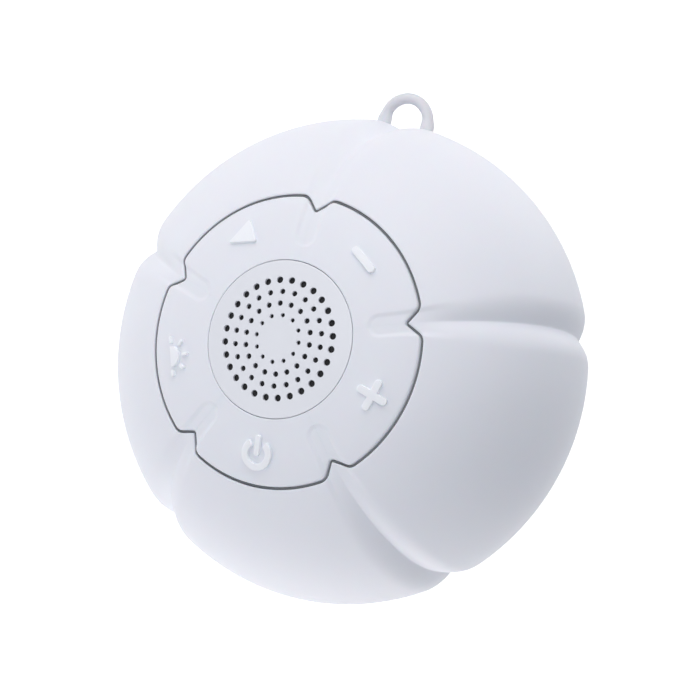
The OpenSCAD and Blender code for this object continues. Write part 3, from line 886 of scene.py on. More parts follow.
@dataclass
class KeyPanel:
    """Five soft keys that meet in the valleys, and the grey seal in the gap round them."""

    shape: BodyShape
    inner_r: float = 14.7
    thickness: float = 1.15
    lip: float = 0.32
    inner_lip: float = 0.16
    inner_wall_depth: float = 0.8
    rim_wall_depth: float = 1.0
    side_gap: float = 0.02
    ring_r: float = 21.3
    stem_r: float = 2.0
    stem_foot: float = 24.4
    stem_top: float = 28.7
    rise: float = 0.6
    root: float = -0.5
    bar_slack: float = 0.03
    symbol_edge: float = 0.16
    symbol_angle: float = 38.0
    per_half: int = 56
    top_rows: int = 64
    seal_per_half: int = 40
    seal_side: float = 0.03
    seal_foot: float = 2.2

    def build(self) -> None:
        """Builds every key with its symbol and stem, and then the seal."""
        for symbol in Symbol:
            self._key(symbol)
        self._seal()

    def _key(self, symbol: Symbol) -> None:
        """Builds one key from its pad, stem and symbol.

        Args:
            symbol: The key's symbol, which also gives its angle.
        """
        name = symbol.name.lower()
        plain = Bench.join("plain", [self._pad(symbol.value), self._stem(symbol.value)])
        plain_faces = len(plain.data.polygons)
        key = Bench.join(f"key_{name}_pad",
                         [plain, *self._seat(self._sign(symbol), symbol.value)])
        Bench.stand(key, f"key_{name}", "key_silicone", SOFT_WHITE, f"key_{name}", sharp=50.0)
        # The sign faces take the brighter white: a painted highlight on the raised signs.
        key.data.materials.append(SIGN_PAINTED_HIGHLIGHT.material())
        for face in list(key.data.polygons)[plain_faces:]:
            face.material_index = 1

    def _pad(self, middle: float) -> bpy.types.Object:
        """Shapes a key's pad.

        Args:
            middle: Angle of the key's middle round the axis, in degrees.

        Returns:
            The closed pad.
        """
        half = 180.0 / self.shape.lobes
        share = (self.shape.columns(self.per_half) - half) / half
        pad = Bench.sheet("pad", self._pad_rows(middle + share * (half - self.side_gap)))
        level = turned(middle).inverted()
        end = math.radians(half - 2.5 * self.side_gap)
        for side in (-1.0, 1.0):
            Bench.pick(pad, lambda place: side * math.atan2(*(level @ place).yx) > end)
            bpy.ops.mesh.fill()
            Bench.done()
        Bench.pick(pad, lambda place: True)
        bpy.ops.mesh.normals_make_consistent(inside=False)
        Bench.done()
        return pad

    def _pad_rows(self, turns: Array) -> Array:
        """Runs round a pad's section: inner wall, top, rim and underside.

        Args:
            turns: Angles of the pad's columns, in degrees.

        Returns:
            Rows by columns by 3, in bench millimetres.
        """
        shape = self.shape
        rows = [self._inner_ring(turns, 0.0, depth)
                for depth in (self.thickness, self.inner_wall_depth)]
        for bend in LIP_BENDS[::-2]:
            rows.append(self._inner_ring(turns, self.inner_lip * (1 - math.sin(bend)),
                                         self.inner_lip * (1 - math.cos(bend))))
        start = self.inner_r + self.inner_lip
        end = shape.edge(turns, -self.lip)
        for t in np.linspace(0.0, 1.0, self.top_rows + 1)[1:]:
            rows.append(shape.surface(shape.arc_at(start + (end - start) * t), turns))
        for bend in LIP_BENDS[1:]:
            rows.append(shape.rim(turns, self.lip * (math.sin(bend) - 1),
                                  self.lip * (1 - math.cos(bend))))
        rows.append(shape.rim(turns, 0.0, self.rim_wall_depth))
        rows.append(shape.rim(turns, 0.0, self.thickness))
        for t in (0.75, 0.5, 0.25):
            under = shape.surface(shape.arc_at(start + (end - start) * t), turns)
            under[..., 2] -= self.thickness
            rows.append(under)
        return np.stack([*rows, rows[0]])

    def _inner_ring(self, turns: Array, out: float, depth: float) -> Array:
        """Points beside the grille.

        Args:
            turns: Angles round the axis, in degrees.
            out: How far outside the pad's inner wall, in millimetres.
            depth: How far below the surface.

        Returns:
            Points, in bench millimetres.
        """
        reach = np.full_like(turns, self.inner_r + out)
        place = self.shape.surface(self.shape.arc_at(reach), turns)
        place[..., 2] -= depth
        return place

    def _stem(self, middle: float) -> bpy.types.Object:
        """Builds the stem that presses the switch.

        Args:
            middle: Angle of the key's middle round the axis, in degrees.

        Returns:
            The stem.
        """
        stem = Bench.rod("stem", self.stem_r, self.stem_foot, self.stem_top)
        Bench.round_edges(stem, 0.25)
        stem.data.transform(turned(middle, self.ring_r))
        return stem

    def _seat(self, signs: list[bpy.types.Object], middle: float) -> list[bpy.types.Object]:
        """Rounds flat signs, tilts them onto the dome and moves them to their key.

        Args:
            signs: The flat signs.
            middle: Angle of the key's middle round the axis, in degrees.

        Returns:
            The same signs.
        """
        shape = self.shape
        arc = float(shape.arc_at(np.array(self.ring_r)))
        height = float(np.interp(arc, shape.arc, shape.height))
        tilt = float(np.interp(arc, shape.arc, shape.tilt))
        place = (turned(middle) @ Matrix.Translation((self.ring_r, 0, height))
                 @ Matrix.Rotation(tilt, 4, "Y") @ Matrix.Rotation(math.radians(90), 4, "Z"))
        for sign in signs:
            Bench.round_edges(sign, self.symbol_edge, 4, self.symbol_angle)
            sign.data.transform(place)
        return signs

    def _bar(self, length: float, width: float, middle: tuple[float, float] = (0.0, 0.0),
             angle: float = 0.0) -> bpy.types.Object:
        """Models a flat bar with round ends.

        Args:
            length: Its length, in millimetres.
            width: Its width.
            middle: X and Y of its middle.
            angle: How far it is turned about its middle, in degrees.

        Returns:
            The bar.
        """
        bar = Bench.block("bar", (length, width, self.rise - self.root),
                          (0, 0, (self.rise + self.root) / 2), width / 2 - self.bar_slack, 8)
        bar.data.transform(Matrix.Translation((*middle, 0))
                           @ Matrix.Rotation(math.radians(angle), 4, "Z"))
        return bar

    def _sign(self, symbol: Symbol) -> list[bpy.types.Object]:
        """Builds a key's sign flat on the bench, with its top towards the grille.

        Args:
            symbol: Which sign to build.

        Returns:
            The sign's pieces.
        """
        if symbol is Symbol.MINUS:
            return [self._bar(6.2, 1.5)]
        if symbol is Symbol.PLUS:
            return [self._cross(3.1, 1.45)]
        if symbol is Symbol.PLAY:
            return [self._arrow()]
        if symbol is Symbol.POWER:
            return [self._broken_ring(), self._bar(3.9, 1.1, (0, 1.6), 90)]
        rays = [self._bar(1.3, 0.62, (3.1 * math.cos(a), 3.1 * math.sin(a) - 1.4),
                          math.degrees(a)) for a in np.radians((0, 45, 90, 135, 180))]
        return [self._half_disc(), *rays]

    def _cross(self, reach: float, width: float) -> bpy.types.Object:
        """Draws the plus out of one small block, with four arms that end round.

        Args:
            reach: Length of an arm from the middle, in millimetres.
            width: Width of an arm.

        Returns:
            The plus.
        """
        cross = Bench.block("cross", (width, width, self.rise - self.root),
                            (0, 0, (self.rise + self.root) / 2))
        for way in (Vector((1, 0, 0)), Vector((0, 1, 0)), Vector((-1, 0, 0)), Vector((0, -1, 0))):
            Bench.pick(cross, lambda place: place.dot(way) > width / 2 - 0.01
                       and abs(place.x * way.y + place.y * way.x) < 0.01, faces=True)
            bpy.ops.mesh.extrude_region_move(
                TRANSFORM_OT_translate={"value": way * (reach - width / 2)})
            Bench.done()
        Bench.pick_edges(cross, lambda one, other: Bench.upright(one, other)
                         and max(abs(one.x), abs(one.y)) > reach - 0.01)
        bpy.ops.mesh.bevel(offset=width / 2 - self.bar_slack, segments=8)
        Bench.done()
        return cross

    def _arrow(self) -> bpy.types.Object:
        """Models the arrow head of the play key.

        Returns:
            The arrow head.
        """
        middle = (-0.45, 0, 0)
        arrow = Bench.rod("arrow", 3.45, self.root, self.rise, middle[:2], 3)
        Bench.pick(arrow, lambda place: True)
        bpy.ops.mesh.select_all(action="SELECT")
        bpy.ops.transform.rotate(value=math.radians(90), orient_axis="Z", center_override=middle)
        bpy.ops.transform.resize(value=(1.03, 0.82, 1.0), center_override=middle)
        Bench.done()
        Bench.pick_edges(arrow, Bench.upright)
        bpy.ops.mesh.bevel(offset=0.45, segments=5)
        Bench.done()
        return arrow

    def _broken_ring(self) -> bpy.types.Object:
        """Spins the open ring of the power key.

        Returns:
            The ring, open towards the grille.
        """
        opening = 36.0
        inner, outer = 1.75, 3.05
        bpy.ops.mesh.primitive_plane_add(size=1.0)
        ring = Bench.take("ring")
        corners = ((inner, self.root), (outer, self.root), (inner, self.rise), (outer, self.rise))
        start = math.radians(90 - opening)
        for vertex, (reach, height) in zip(ring.data.vertices, corners):
            vertex.co = (reach * math.cos(start), reach * math.sin(start), height)
        Bench.pick(ring, lambda place: True)
        bpy.ops.mesh.select_all(action="SELECT")
        bpy.ops.mesh.spin(steps=40, angle=math.radians(360 - 2 * opening), center=(0, 0, 0),
                          axis=(0, 0, 1))
        Bench.done()
        return Bench.mend(ring)

    def _half_disc(self) -> bpy.types.Object:
        """Models the lamp's half disc.

        Returns:
            The half disc, flat towards the rim.
        """
        flat_y = -1.6
        disc = Bench.rod("disc", 2.0, self.root, self.rise, (0.0, flat_y), 64)
        Bench.pick(disc, lambda place: True)
        bpy.ops.mesh.select_all(action="SELECT")
        bpy.ops.mesh.bisect(plane_co=(0, flat_y, 0), plane_no=(0, 1, 0), use_fill=True,
                            clear_inner=True)
        Bench.done()
        return disc

    def _seal(self) -> None:
        """Runs the soft seal round the bottom of the gap."""
        turns = self.shape.round_trip(self.seal_per_half)
        near, far = self.seal_side, self.shape.seam_gap - self.seal_side
        crown = ((near, 0.83), (0.08, 0.66), (0.16, 0.58), (0.25, 0.55),
                 (0.34, 0.58), (0.42, 0.66), (far, 0.83))
        section = ((near, self.seal_foot), *crown, (far, self.seal_foot), (near, self.seal_foot))
        seal = Bench.sheet("panel_seal_ring", np.stack(
            [self.shape.rim(turns, grow, depth) for grow, depth in section]))
        Bench.stand(seal, "housing", "grey_rubber", GREY_RUBBER, "panel_seal")


# ---------- the grille ----------


@dataclass
class Grille:
    """The drilled disc in the middle of the face, and the dark cloth behind its holes."""

    shape: BodyShape
    radius: float = 14.6
    thickness: float = 0.5
    skirt: float = 1.5
    skirt_wall: float = 1.2
    drill_down: float = -1.4
    drill_up: float = 0.5
    smooth_r: float = 14.0
    edge: float = 0.07
    rim_edge: float = 0.16
    pitch: float = 2.182
    counts: tuple[int, ...] = (12, 18, 22, 28)
    radii: tuple[float, ...] = (0.40, 0.51, 0.51, 0.63)
    cloth_r: float = 12.75
    cloth_t: float = 0.2

    def build(self) -> None:
        """Builds the disc and its cloth."""
        self._disc()
        self._cloth()

    def _top(self, reach: float) -> float:
        """Height of the dome at a radius."""
        return self.shape.front_rise - reach ** 2 / (2 * self.shape.dome_r)

    def _disc(self) -> None:
        """Turns the domed disc, drills its rings of holes and smooths its broad faces."""
        rim = self.radius - self.rim_edge
        reach = np.linspace(0.0, rim, 37)
        crown = [(float(r), self._top(r)) for r in reach]
        lip = [(rim + self.rim_edge * math.sin(t),
                self._top(rim) - self.rim_edge * (1 - math.cos(t)))
               for t in np.radians((22.5, 45, 67.5, 90))]
        wall = [(self.radius, self._top(self.radius) - self.skirt),
                (self.radius - self.skirt_wall, self._top(self.radius) - self.skirt)]
        back = [(float(r), self._top(r) - self.thickness) for r in reach[:-3]]
        disc = Bench.lathe("grille_drilled", [*crown, *lip, *wall, *back[::-1], crown[0]], 144)
        drills = [drill for ring in range(len(self.counts)) for drill in self._drills(ring)]
        Bench.cut(disc, Bench.join("drills", drills))
        Bench.stand(disc, "housing", "grille_pearl", PEARL, "grille_disc", sharp=50.0)
        self._smooth_dome(disc)

    def _drills(self, ring: int) -> list[bpy.types.Object]:
        """Shapes a ring's countersunk drill and copies it to each hole, square to the dome.

        Args:
            ring: Which ring of holes, counted from the innermost.

        Returns:
            A drill for each of the ring's holes.
        """
        count, radius, reach = self.counts[ring], self.radii[ring], self.pitch * (ring + 2)
        lip = [(radius + self.edge * (1 - math.cos(t)), self.edge * (math.sin(t) - 1))
               for t in np.radians((0, 30, 60, 90))]
        drill = Bench.lathe("drill", [(0, self.drill_down), (radius, self.drill_down), *lip,
                                      (radius + self.edge, self.drill_up), (0, self.drill_up),
                                      (0, self.drill_down)], 28)
        lean = Matrix.Rotation(math.asin(reach / self.shape.dome_r), 4, "Y")
        seat = Matrix.Translation((reach, 0, self._top(reach)))
        return Bench.copies(drill, [turned(360.0 * i / count) @ seat @ lean
                                    for i in range(count)])

    def _smooth_dome(self, disc: bpy.types.Object) -> None:
        """Gives the disc's two broad faces the dome's own slope at each corner.

        Args:
            disc: The disc, as it stands on the wall.
        """
        mesh = disc.data
        centre = Vector((0, (self.shape.dome_r - self.shape.front_rise - Bench.WALL_DROP) * MM, 0))
        slopes = [corner.vector.copy() for corner in mesh.corner_normals]
        for face in mesh.polygons:
            slope = (face.center - centre).normalized()
            broad = face.normal.dot(slope)
            reach = math.hypot(face.center.x, face.center.z)
            if abs(broad) < 0.995 or reach > self.smooth_r * MM:
                continue
            for loop in face.loop_indices:
                place = mesh.vertices[mesh.loops[loop].vertex_index].co
                slopes[loop] = (place - centre).normalized() * math.copysign(1.0, broad)
        mesh.normals_split_custom_set(slopes)

    def _cloth(self) -> None:
        """Lays the woven mesh behind the holes."""
        bpy.ops.mesh.primitive_circle_add(vertices=96, radius=self.cloth_r, fill_type="TRIFAN")
        cloth = Bench.take("grille_mesh_cloth")
        Bench.pick(cloth, lambda place: True)
        bpy.ops.mesh.select_all(action="SELECT")
        bpy.ops.mesh.subdivide(number_cuts=5)
        bpy.ops.transform.translate(
            value=(0, 0, self.shape.front_rise - self.thickness - self.cloth_t))
        Bench.done()
        for vertex in cloth.data.vertices:
            reach = math.hypot(vertex.co.x, vertex.co.y)
            vertex.co.z -= reach ** 2 / (2 * self.shape.dome_r)
        Bench.modify(cloth, "SOLIDIFY", thickness=self.cloth_t, offset=-1.0)
        Bench.stand(cloth, "housing", "cloth_black", BLACK_CLOTH, "grille_cloth")


# ---------- the loop ----------


@dataclass
class HangingLoop:
    """The small moulded loop that stands in the top groove, and its foot under the skin."""

    hole_r: float = 3.5
    wire_r: float = 1.05
    centre_r: float = 45.4
    foot: Point = (13.0, 1.1, 6.0)
    foot_r: float = 40.75
    foot_edge: float = 0.3
    tuck: float = 0.1
    flare: float = 0.3
    flare_span: tuple[float, float] = (-1.6, 0.4)

    def build(self) -> None:
        """Bends the ring, runs its legs down to the foot and joins them."""
        middle = self.hole_r + self.wire_r - self.tuck
        bpy.ops.mesh.primitive_torus_add(
            location=(0, self.centre_r, 0), major_segments=72, minor_segments=28,
            major_radius=middle, minor_radius=self.wire_r)
        ring = Bench.take("hanging_loop_ring")
        Bench.pick(ring, lambda place: True)
        bpy.ops.mesh.select_all(action="SELECT")
        bpy.ops.mesh.bisect(plane_co=(0, self.centre_r, 0), plane_no=(0, 1, 0), clear_inner=True)
        Bench.done()
        Bench.pick(ring, lambda place: abs(place.y - self.centre_r) < 1e-3)
        for _ in range(3):
            bpy.ops.mesh.extrude_region_move(TRANSFORM_OT_translate={
                "value": (0, (self.foot_r - self.centre_r) / 3, 0)})
        bpy.ops.mesh.fill()
        Bench.done()
        for vertex in ring.data.vertices:
            below = np.array(self.centre_r - vertex.co.y)
            grow = self.flare * float(ease(below, *self.flare_span)) / self.wire_r
            side = math.copysign(middle, vertex.co.x)
            if grow:
                vertex.co.x += (vertex.co.x - side) * grow
                vertex.co.z *= 1 + grow
        foot = Bench.block("foot", self.foot, (0, self.foot_r, 0))
        Bench.round_edges(foot, self.foot_edge)
        Bench.mend(ring)
        loop = Bench.join("hanging_loop_ring", [ring, foot])
        # The loop's darker white is painted shade on body-coloured plastic.
        Bench.stand(loop, "housing", "loop_plastic", LOOP_PAINTED_SHADE, "hanging_loop")


# ---------- the rear ----------


@dataclass
class RearMount:
    """The rear plate with its screws, and the clear suction cup."""

    plate_r: float = 26.0
    plate_bore_r: float = 2.8
    plate_z: float = -28.85
    rear: float = -27.5
    screw_ring: float = 17.0
    screw_turns: tuple[float, ...] = (90.0, 210.0, 330.0)
    screw_depth: float = 1.2
    pocket_r: float = 2.15
    hole_r: float = 1.15
    neck_r: float = 7.0
    cup_lip_r: float = 23.9
    cup_depth: float = 5.2
    wall: float = -Bench.WALL_DROP

    def build(self) -> None:
        """Builds the plate, its screws and the cup."""
        self._plate()
        self._screws()
        self._cup()

    def _plate(self) -> None:
        """Turns the plate, with its spigot, stepped rim and pockets for the screws."""
        low, high, bore, rim = self.plate_z, self.rear, self.plate_bore_r, self.plate_r
        outline = [(bore, low + 0.85), (7.05, low + 0.8), (7.05, low + 0.1), (7.25, low),
                   (22.9, low), (23.1, low + 0.18), (23.5, low + 0.18), (23.7, low),
                   (25.45, low), (25.75, low + 0.08), (25.93, low + 0.28), (rim, low + 0.55),
                   (rim, high), (21.9, high), (21.9, high + 1.5), (bore, high + 1.5),
                   (bore, low + 0.85)]
        plate = Bench.lathe("rear_plate_disc", outline, 128)
        for turn in self.screw_turns:
            tool = Bench.rod("pocket", self.pocket_r, low - 1, low + self.screw_depth)
            tool.data.transform(turned(turn, self.screw_ring))
            Bench.cut(plate, tool)
            hole = Bench.rod("hole", self.hole_r, low, high + 3)
            hole.data.transform(turned(turn, self.screw_ring))
            Bench.cut(plate, hole)
        Bench.stand(plate, "housing", "plate_plastic", PLATE_WHITE, "rear_plate")

    def _screws(self) -> None:
        """Models one pan-head screw with a cross recess, and copies it."""
        seat = self.plate_z + self.screw_depth
        head = Bench.lathe("screw", [(0, seat - 1.12), (0.9, seat - 1.1), (1.45, seat - 0.98),
                                     (1.78, seat - 0.7), (1.9, seat - 0.35), (1.9, seat),
                                     (0.92, seat), (0.9, seat + 0.4), (0.9, seat + 5.4),
                                     (0.5, seat + 6), (0, seat + 6)], 40)
        for turn in (0, 90):
            slot = Bench.block("slot", (2.1, 0.46, 1.4), (0, 0, seat - 1.12), 0.2, 3)
            slot.data.transform(Matrix.Rotation(math.radians(turn), 4, "Z"))
            Bench.cut(head, slot)
        screws = Bench.copies(head, [turned(t, self.screw_ring) for t in self.screw_turns])
        piece = Bench.join("rear_plate_screws_set", screws)
        Bench.stand(piece, "housing", "steel", ZINC, "rear_plate_screws", sharp=45.0)

    def _cup(self) -> None:
        """Turns the cup with its stepped back and thin lip, and adds the ribbed pull tab."""
        wall = self.wall
        back = [(self.neck_r - 0.3, -28.1), (self.neck_r, -28.4), (self.neck_r, -30.2),
                (7.5, -30.7), (8.6, -30.9), (11.0, -31.3), (13.4, -31.95), (13.7, -32.3),
                (14.2, -32.35), (16.5, -33.0), (19.0, -33.9), (19.3, -34.25), (19.8, -34.3),
                (22.0, -35.4), (24.0, -36.55), (25.1, -37.25), (25.45, -37.55), (25.5, -37.8),
                (25.4, wall)]
        reach = np.linspace(self.cup_lip_r, 0.0, 26)
        ball_r = (self.cup_lip_r ** 2 + self.cup_depth ** 2) / (2 * self.cup_depth)
        ball_z = wall + self.cup_depth - ball_r
        hollow = [(float(r), ball_z + math.sqrt(ball_r ** 2 - r * r)) for r in reach]
        pocket = [(0.0, -30.2), (2.5, -30.2), (2.5, -28.05)]
        cup = Bench.lathe("suction_cup_clear", [*pocket, *back, *hollow, pocket[0]], 144)
        tab = self._tab()
        cup = Bench.join("suction_cup_clear", [cup, tab])
        Bench.stand(cup, "housing", "cup_silicone", CLEAR_SILICONE, "suction_cup", sharp=50.0)

    def _tab(self) -> bpy.types.Object:
        """Models the tongue that is pulled to let the cup go.

        Returns:
            The tongue with its three grip ribs.
        """
        tab = Bench.block("tab", (10.0, 11.4, 0.9), (0, -30.25, self.wall + 0.48), 4.6, 12)
        Bench.round_edges(tab, 0.2, 3)
        ribs = []
        for i in range(3):
            rib = Bench.block("rib", (5.6, 0.7, 0.5), (0, -31.2 - 1.4 * i, self.wall + 1.05), 0.3, 4)
            ribs.append(Bench.round_edges(rib, 0.15, 2))
        return Bench.join("tab", [tab, *ribs])


@dataclass
class ChargingPort:
    """The charging port under the body, with its hinged cover and pin."""

    shape: BodyShape
    angle: float = 50.0
    cover: tuple[float, float] = (13.0, 7.4)
    hinge_y: float = 4.2
    hinge_z: float = -1.25
    knuckle_r: float = 0.95
    knuckle_half: float = 4.4
    pin_r: float = 0.48
    pin_half: float = 6.3
    bore_r: float = 0.55
    window_gap: float = 0.3
    crown: float = -0.12
    floor: float = -1.6

    def place(self) -> Matrix:
        """Finds where the port sits on the shoulder.

        Returns:
            The move from the port's own frame, +Z out of the skin, to the bench.
        """
        turn = math.radians(self.angle)
        shape = self.shape
        spot = Vector((0, -(shape.shoulder_x + shape.shoulder_r * math.cos(turn)),
                       -shape.shoulder_r * math.sin(turn)))
        return Matrix.Translation(spot) @ Matrix.Rotation(math.radians(90 + self.angle), 4, "X")

    def window_tool(self) -> bpy.types.Object:
        """Shapes the block that cuts the port's window out of the skin.

        Returns:
            The block, where the port is.
        """
        low = -self.cover[1] / 2 - self.window_gap
        high = self.hinge_y + self.knuckle_r + 0.75
        tool = Bench.block("window", (self.cover[0] + 2 * self.window_gap, high - low, 9.0),
                           (0, (high + low) / 2, -1.0), 1.5, 8)
        tool.data.transform(self.place())
        return tool

    def build(self) -> None:
        """Builds the cover and its pin."""
        self._lid()
        pin = Bench.rod("cover_pin_rod", self.pin_r, -self.pin_half, self.pin_half, sides=32)
        Bench.round_edges(pin, 0.12, 2)
        pin.data.transform(self.place() @ Matrix.Translation((0, self.hinge_y, self.hinge_z))
                           @ Matrix.Rotation(math.radians(90), 4, "Y"))
        Bench.stand(pin, "housing", "steel", ZINC, "cover_pin")

    def _lid(self) -> None:
        """Shapes the soft cover: a crowned pad with a thumb lip, plug, tongue and knuckle."""
        wide, deep = self.cover
        base, top = self.floor + 0.1, self.crown
        front = self.hinge_y - self.knuckle_r - 0.35
        length = front + deep / 2
        pad = Bench.block("pad", (wide, length, top - base),
                          (0, front - length / 2, (top + base) / 2), 1.35, 8)
        Bench.round_edges(pad, 0.22, 3)
        Bench.modify(pad, "SUBSURF", levels=3, render_levels=3, subdivision_type="SIMPLE")
        groove = Bench.block("groove", (5.4, 0.7, 0.7), (0, -2.3, top - 0.05), 0.3, 4)
        Bench.cut(pad, groove)
        for vertex in pad.data.vertices:
            share = (vertex.co.z - base) / (top - base)
            drop = vertex.co.x ** 2 / 106.0 + vertex.co.y ** 2 / 60.0
            vertex.co.z -= share * drop * 0.9
        tongue = Bench.block("tongue", (2 * self.knuckle_half, 2.4, 0.9),
                             (0, self.hinge_y - 1.2, self.floor + 0.52))
        Bench.round_edges(tongue, 0.1, 2)
        knuckle = Bench.rod("knuckle", self.knuckle_r, -self.knuckle_half, self.knuckle_half)
        Bench.cut(knuckle, Bench.rod("bore", self.bore_r, -9, 9))
        Bench.round_edges(knuckle, 0.12, 2, 60.0)
        knuckle.data.transform(Matrix.Translation((0, self.hinge_y, self.hinge_z))
                               @ Matrix.Rotation(math.radians(90), 4, "Y"))
        plug = Bench.block("plug", (7.2, 1.8, 1.6), (0, 0, self.floor - 0.25), 0.85, 6)
        Bench.round_edges(plug, 0.15, 2)
        lid = Bench.join("port_cover_lid", [pad, tongue, knuckle, plug])
        lid.data.transform(self.place())
        Bench.stand(lid, "port_flap", "cover_silicone", COVER_WHITE, "port_cover", sharp=45.0)


# ---------- the inside ----------


class Inside:
    """The sealed pieces, which keep their CAD shape and get their own finishes."""

    FINISHES: tuple[tuple[Finish, tuple[str, ...]], ...] = (
        (MILK_WHITE, ("front_housing", "rear_housing")),
        (GREY_RUBBER, ("housing_o_ring",)),
        (MEMBRANE, ("key_membrane",)),
        (ZINC, ("housing_screws", "button_board_screws", "driver_screws", "board_screws",
                "cup_stud")),
        (BRASS, ("stud_insert",)),
        (SWITCH_BLACK, ("tact_switches", "plunger_minus", "plunger_play", "plunger_lamp",
                        "plunger_power", "plunger_plus")),
        (BOARD_GREEN, ("button_board", "main_board", "port_board")),
        (BOARD_WHITE, ("lamp_board",)),
        (LED_PHOSPHOR, ("lamp_leds",)),
        (CHIP_BLACK, ("board_chips",)),
        (BLACK_FOAM, ("driver_gasket",)),
        (BASKET_BLACK, ("driver_frame",)),
        (POLE_STEEL, ("driver_top_plate", "driver_yoke")),
        (FERRITE, ("driver_magnet",)),
        (SURROUND, ("driver_surround",)),
        (CONE_PAPER, ("speaker_cone", "dust_cap")),
        (COPPER, ("voice_coil",)),
        (CELL_WRAP, ("battery",)),
        (TRAY_BLACK, ("battery_tray",)),
        (NICKEL, ("usb_socket",)),
        (RED_PVC, ("speaker_wires",)),
        (AMBER_FILM, ("button_ribbon",)),
    )

    @classmethod
    def build(cls) -> None:
        """Dresses every sealed piece, and the CAD nodes that new pieces stand for."""
        for finish, nodes in cls.FINISHES:
            Bench.dress(finish, *nodes)
        Bench.dress(SOFT_WHITE, "outer_skin", *(f"key_{s.name.lower()}" for s in Symbol))
        Bench.dress(PEARL, "grille_disc")
        # The CAD loop gets the same darker white: painted shade.
        Bench.dress(LOOP_PAINTED_SHADE, "hanging_loop")
        Bench.dress(PLATE_WHITE, "rear_plate")
        Bench.dress(COVER_WHITE, "port_cover")
        Bench.dress(CLEAR_SILICONE, "suction_cup")
        Bench.dress(GREY_RUBBER, "panel_seal")
        Bench.dress(BLACK_CLOTH, "grille_cloth")
        Bench.dress(ZINC, "rear_plate_screws", "cover_pin")


# ---------- the studio ----------


@dataclass(frozen=True)
class Softbox:
    """A soft square light, placed by its direction along the camera's right, up and back."""

    name: str
    towards: Point
    power: float
    colour: Point = (1.0, 1.0, 1.0)
    size: float = 1.25
    distance: float = 1.2


SOFTBOXES = (
    Softbox("top", (-0.08, 0.90, 0.43), 9.2, (1.0, 0.965, 0.96)),
    Softbox("left_low", (-0.80, -0.50, 0.33), 4.6, (0.96, 0.97, 1.0)),
    Softbox("left_back", (-0.85, 0.24, -0.47), 2.4),
    Softbox("right_back_high", (0.60, 0.70, -0.39), 3.7),
    Softbox("right_back_low", (0.44, -0.73, -0.52), 0.9, (0.88, 0.95, 1.0)),
    Softbox("under", (-0.17, -0.93, -0.32), 7.4, (1.0, 0.96, 0.95)),
    Softbox("front", (0.33, 0.36, 0.87), 1.9, (0.92, 0.96, 1.0), 0.7),
    Softbox("glint", (-0.42, 0.28, 0.86), 0.45, (1.0, 1.0, 1.0), 0.45),
)


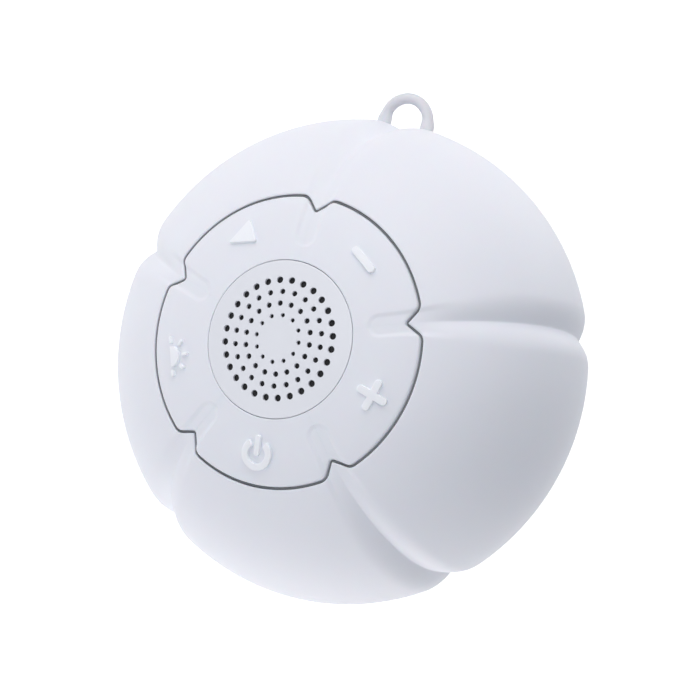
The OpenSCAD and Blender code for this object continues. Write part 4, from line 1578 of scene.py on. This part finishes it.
@dataclass
class Studio:
    """A pale floor that sweeps up all round, soft lights and the camera."""

    towards_camera: Point = (0.4497, -0.8922, -0.0403)
    lean: float = 12.66
    distance: float = 2.0
    lens: float = 564.5
    aim_aside: float = 0.01326
    aim_below: float = 0.00212
    crown_y: float = -0.0698
    floor_z: float = -0.32
    floor_flat_r: float = 2.3
    floor_rim: tuple[float, float] = (3.3, 3.6)
    air: Point = (0.92, 0.96, 1.04)
    air_strength: float = 0.34

    def axes(self) -> tuple[Vector, Vector, Vector]:
        """Works out how the camera is turned.

        Returns:
            The camera's right, up and backward directions.
        """
        back = Vector(self.towards_camera).normalized()
        level = Vector((0, 0, 1)).cross(back).normalized()
        upright = back.cross(level)
        turn = math.radians(self.lean)
        right = level * math.cos(turn) + upright * math.sin(turn)
        return right, back.cross(right), back

    def build(self) -> None:
        """Sets the floor, the lights and the camera."""
        self._floor()
        self._lights()
        self._camera()

    def _floor(self) -> None:
        """Turns a wide bowl: flat under the speaker and curved up all round."""
        z = self.floor_z
        sweep = [(self.floor_flat_r + math.sin(t), z + 1 - math.cos(t))
                 for t in np.radians(range(0, 91, 10))]
        floor = Bench.lathe("studio_floor", [(0.0, z), *sweep, self.floor_rim], 96)
        Bench.select(floor)
        bpy.ops.object.shade_smooth()
        pale = bpy.data.materials.new("pale_floor")
        pale.use_nodes = True
        shader = pale.node_tree.nodes["Principled BSDF"]
        shader.inputs["Base Color"].default_value = (0.9, 0.9, 0.9, 1)
        shader.inputs["Roughness"].default_value = 0.9
        shader.inputs["Emission Color"].default_value = (1, 1, 1, 1)
        shader.inputs["Emission Strength"].default_value = 1.0
        floor.data.materials.append(pale)
        floor.visible_diffuse = floor.visible_shadow = False

    def _lights(self) -> None:
        """Hangs the soft lights, whose places are given along the camera's own axes."""
        world = bpy.data.worlds.new("studio_air")
        world.use_nodes = True
        background = world.node_tree.nodes["Background"]
        background.inputs["Color"].default_value = (*self.air, 1)
        background.inputs["Strength"].default_value = self.air_strength
        bpy.context.scene.world = world
        bpy.context.scene.view_settings.view_transform = "Standard"
        for softbox in SOFTBOXES:
            self._softbox(softbox)

    def _softbox(self, softbox: Softbox) -> None:
        """Adds a square light that faces the speaker.

        Args:
            softbox: Where it hangs, and its size, power and colour.
        """
        data = bpy.data.lights.new(softbox.name, "AREA")
        data.size = softbox.size
        data.energy = softbox.power
        data.color = softbox.colour
        light = bpy.data.objects.new(softbox.name, data)
        bpy.context.scene.collection.objects.link(light)
        axes = Matrix(self.axes()).transposed()
        spot = (axes @ Vector(softbox.towards)).normalized() * softbox.distance
        light.location = spot + Vector((0, -Bench.WALL_DROP * MM, 0))
        light.rotation_euler = spot.to_track_quat("Z", "Y").to_euler()
        light.visible_camera = False

    def _camera(self) -> None:
        """Sets the camera on the grille's crown, off to one side and leaning."""
        data = bpy.data.cameras.new("camera")
        data.sensor_width = 36.0
        data.lens = self.lens
        data.clip_start, data.clip_end = 0.01, 50.0
        camera = bpy.data.objects.new("camera", data)
        bpy.context.scene.collection.objects.link(camera)
        right, up, back = self.axes()
        crown = Vector((0, self.crown_y, 0))
        spot = crown + right * self.aim_aside - up * self.aim_below + back * self.distance
        turn = Matrix((right, up, back)).transposed()
        camera.matrix_world = Matrix.Translation(spot) @ turn.to_4x4()
        bpy.context.scene.camera = camera


def main() -> None:
    """Builds the speaker from the outside in, and then the studio."""
    shape = BodyShape()
    port = ChargingPort(shape)
    OuterSkin(shape).build(port)
    KeyPanel(shape).build()
    Grille(shape).build()
    HangingLoop().build()
    RearMount().build()
    port.build()
    Inside.build()
    Studio().build()


if __name__ == "__main__":
    main()
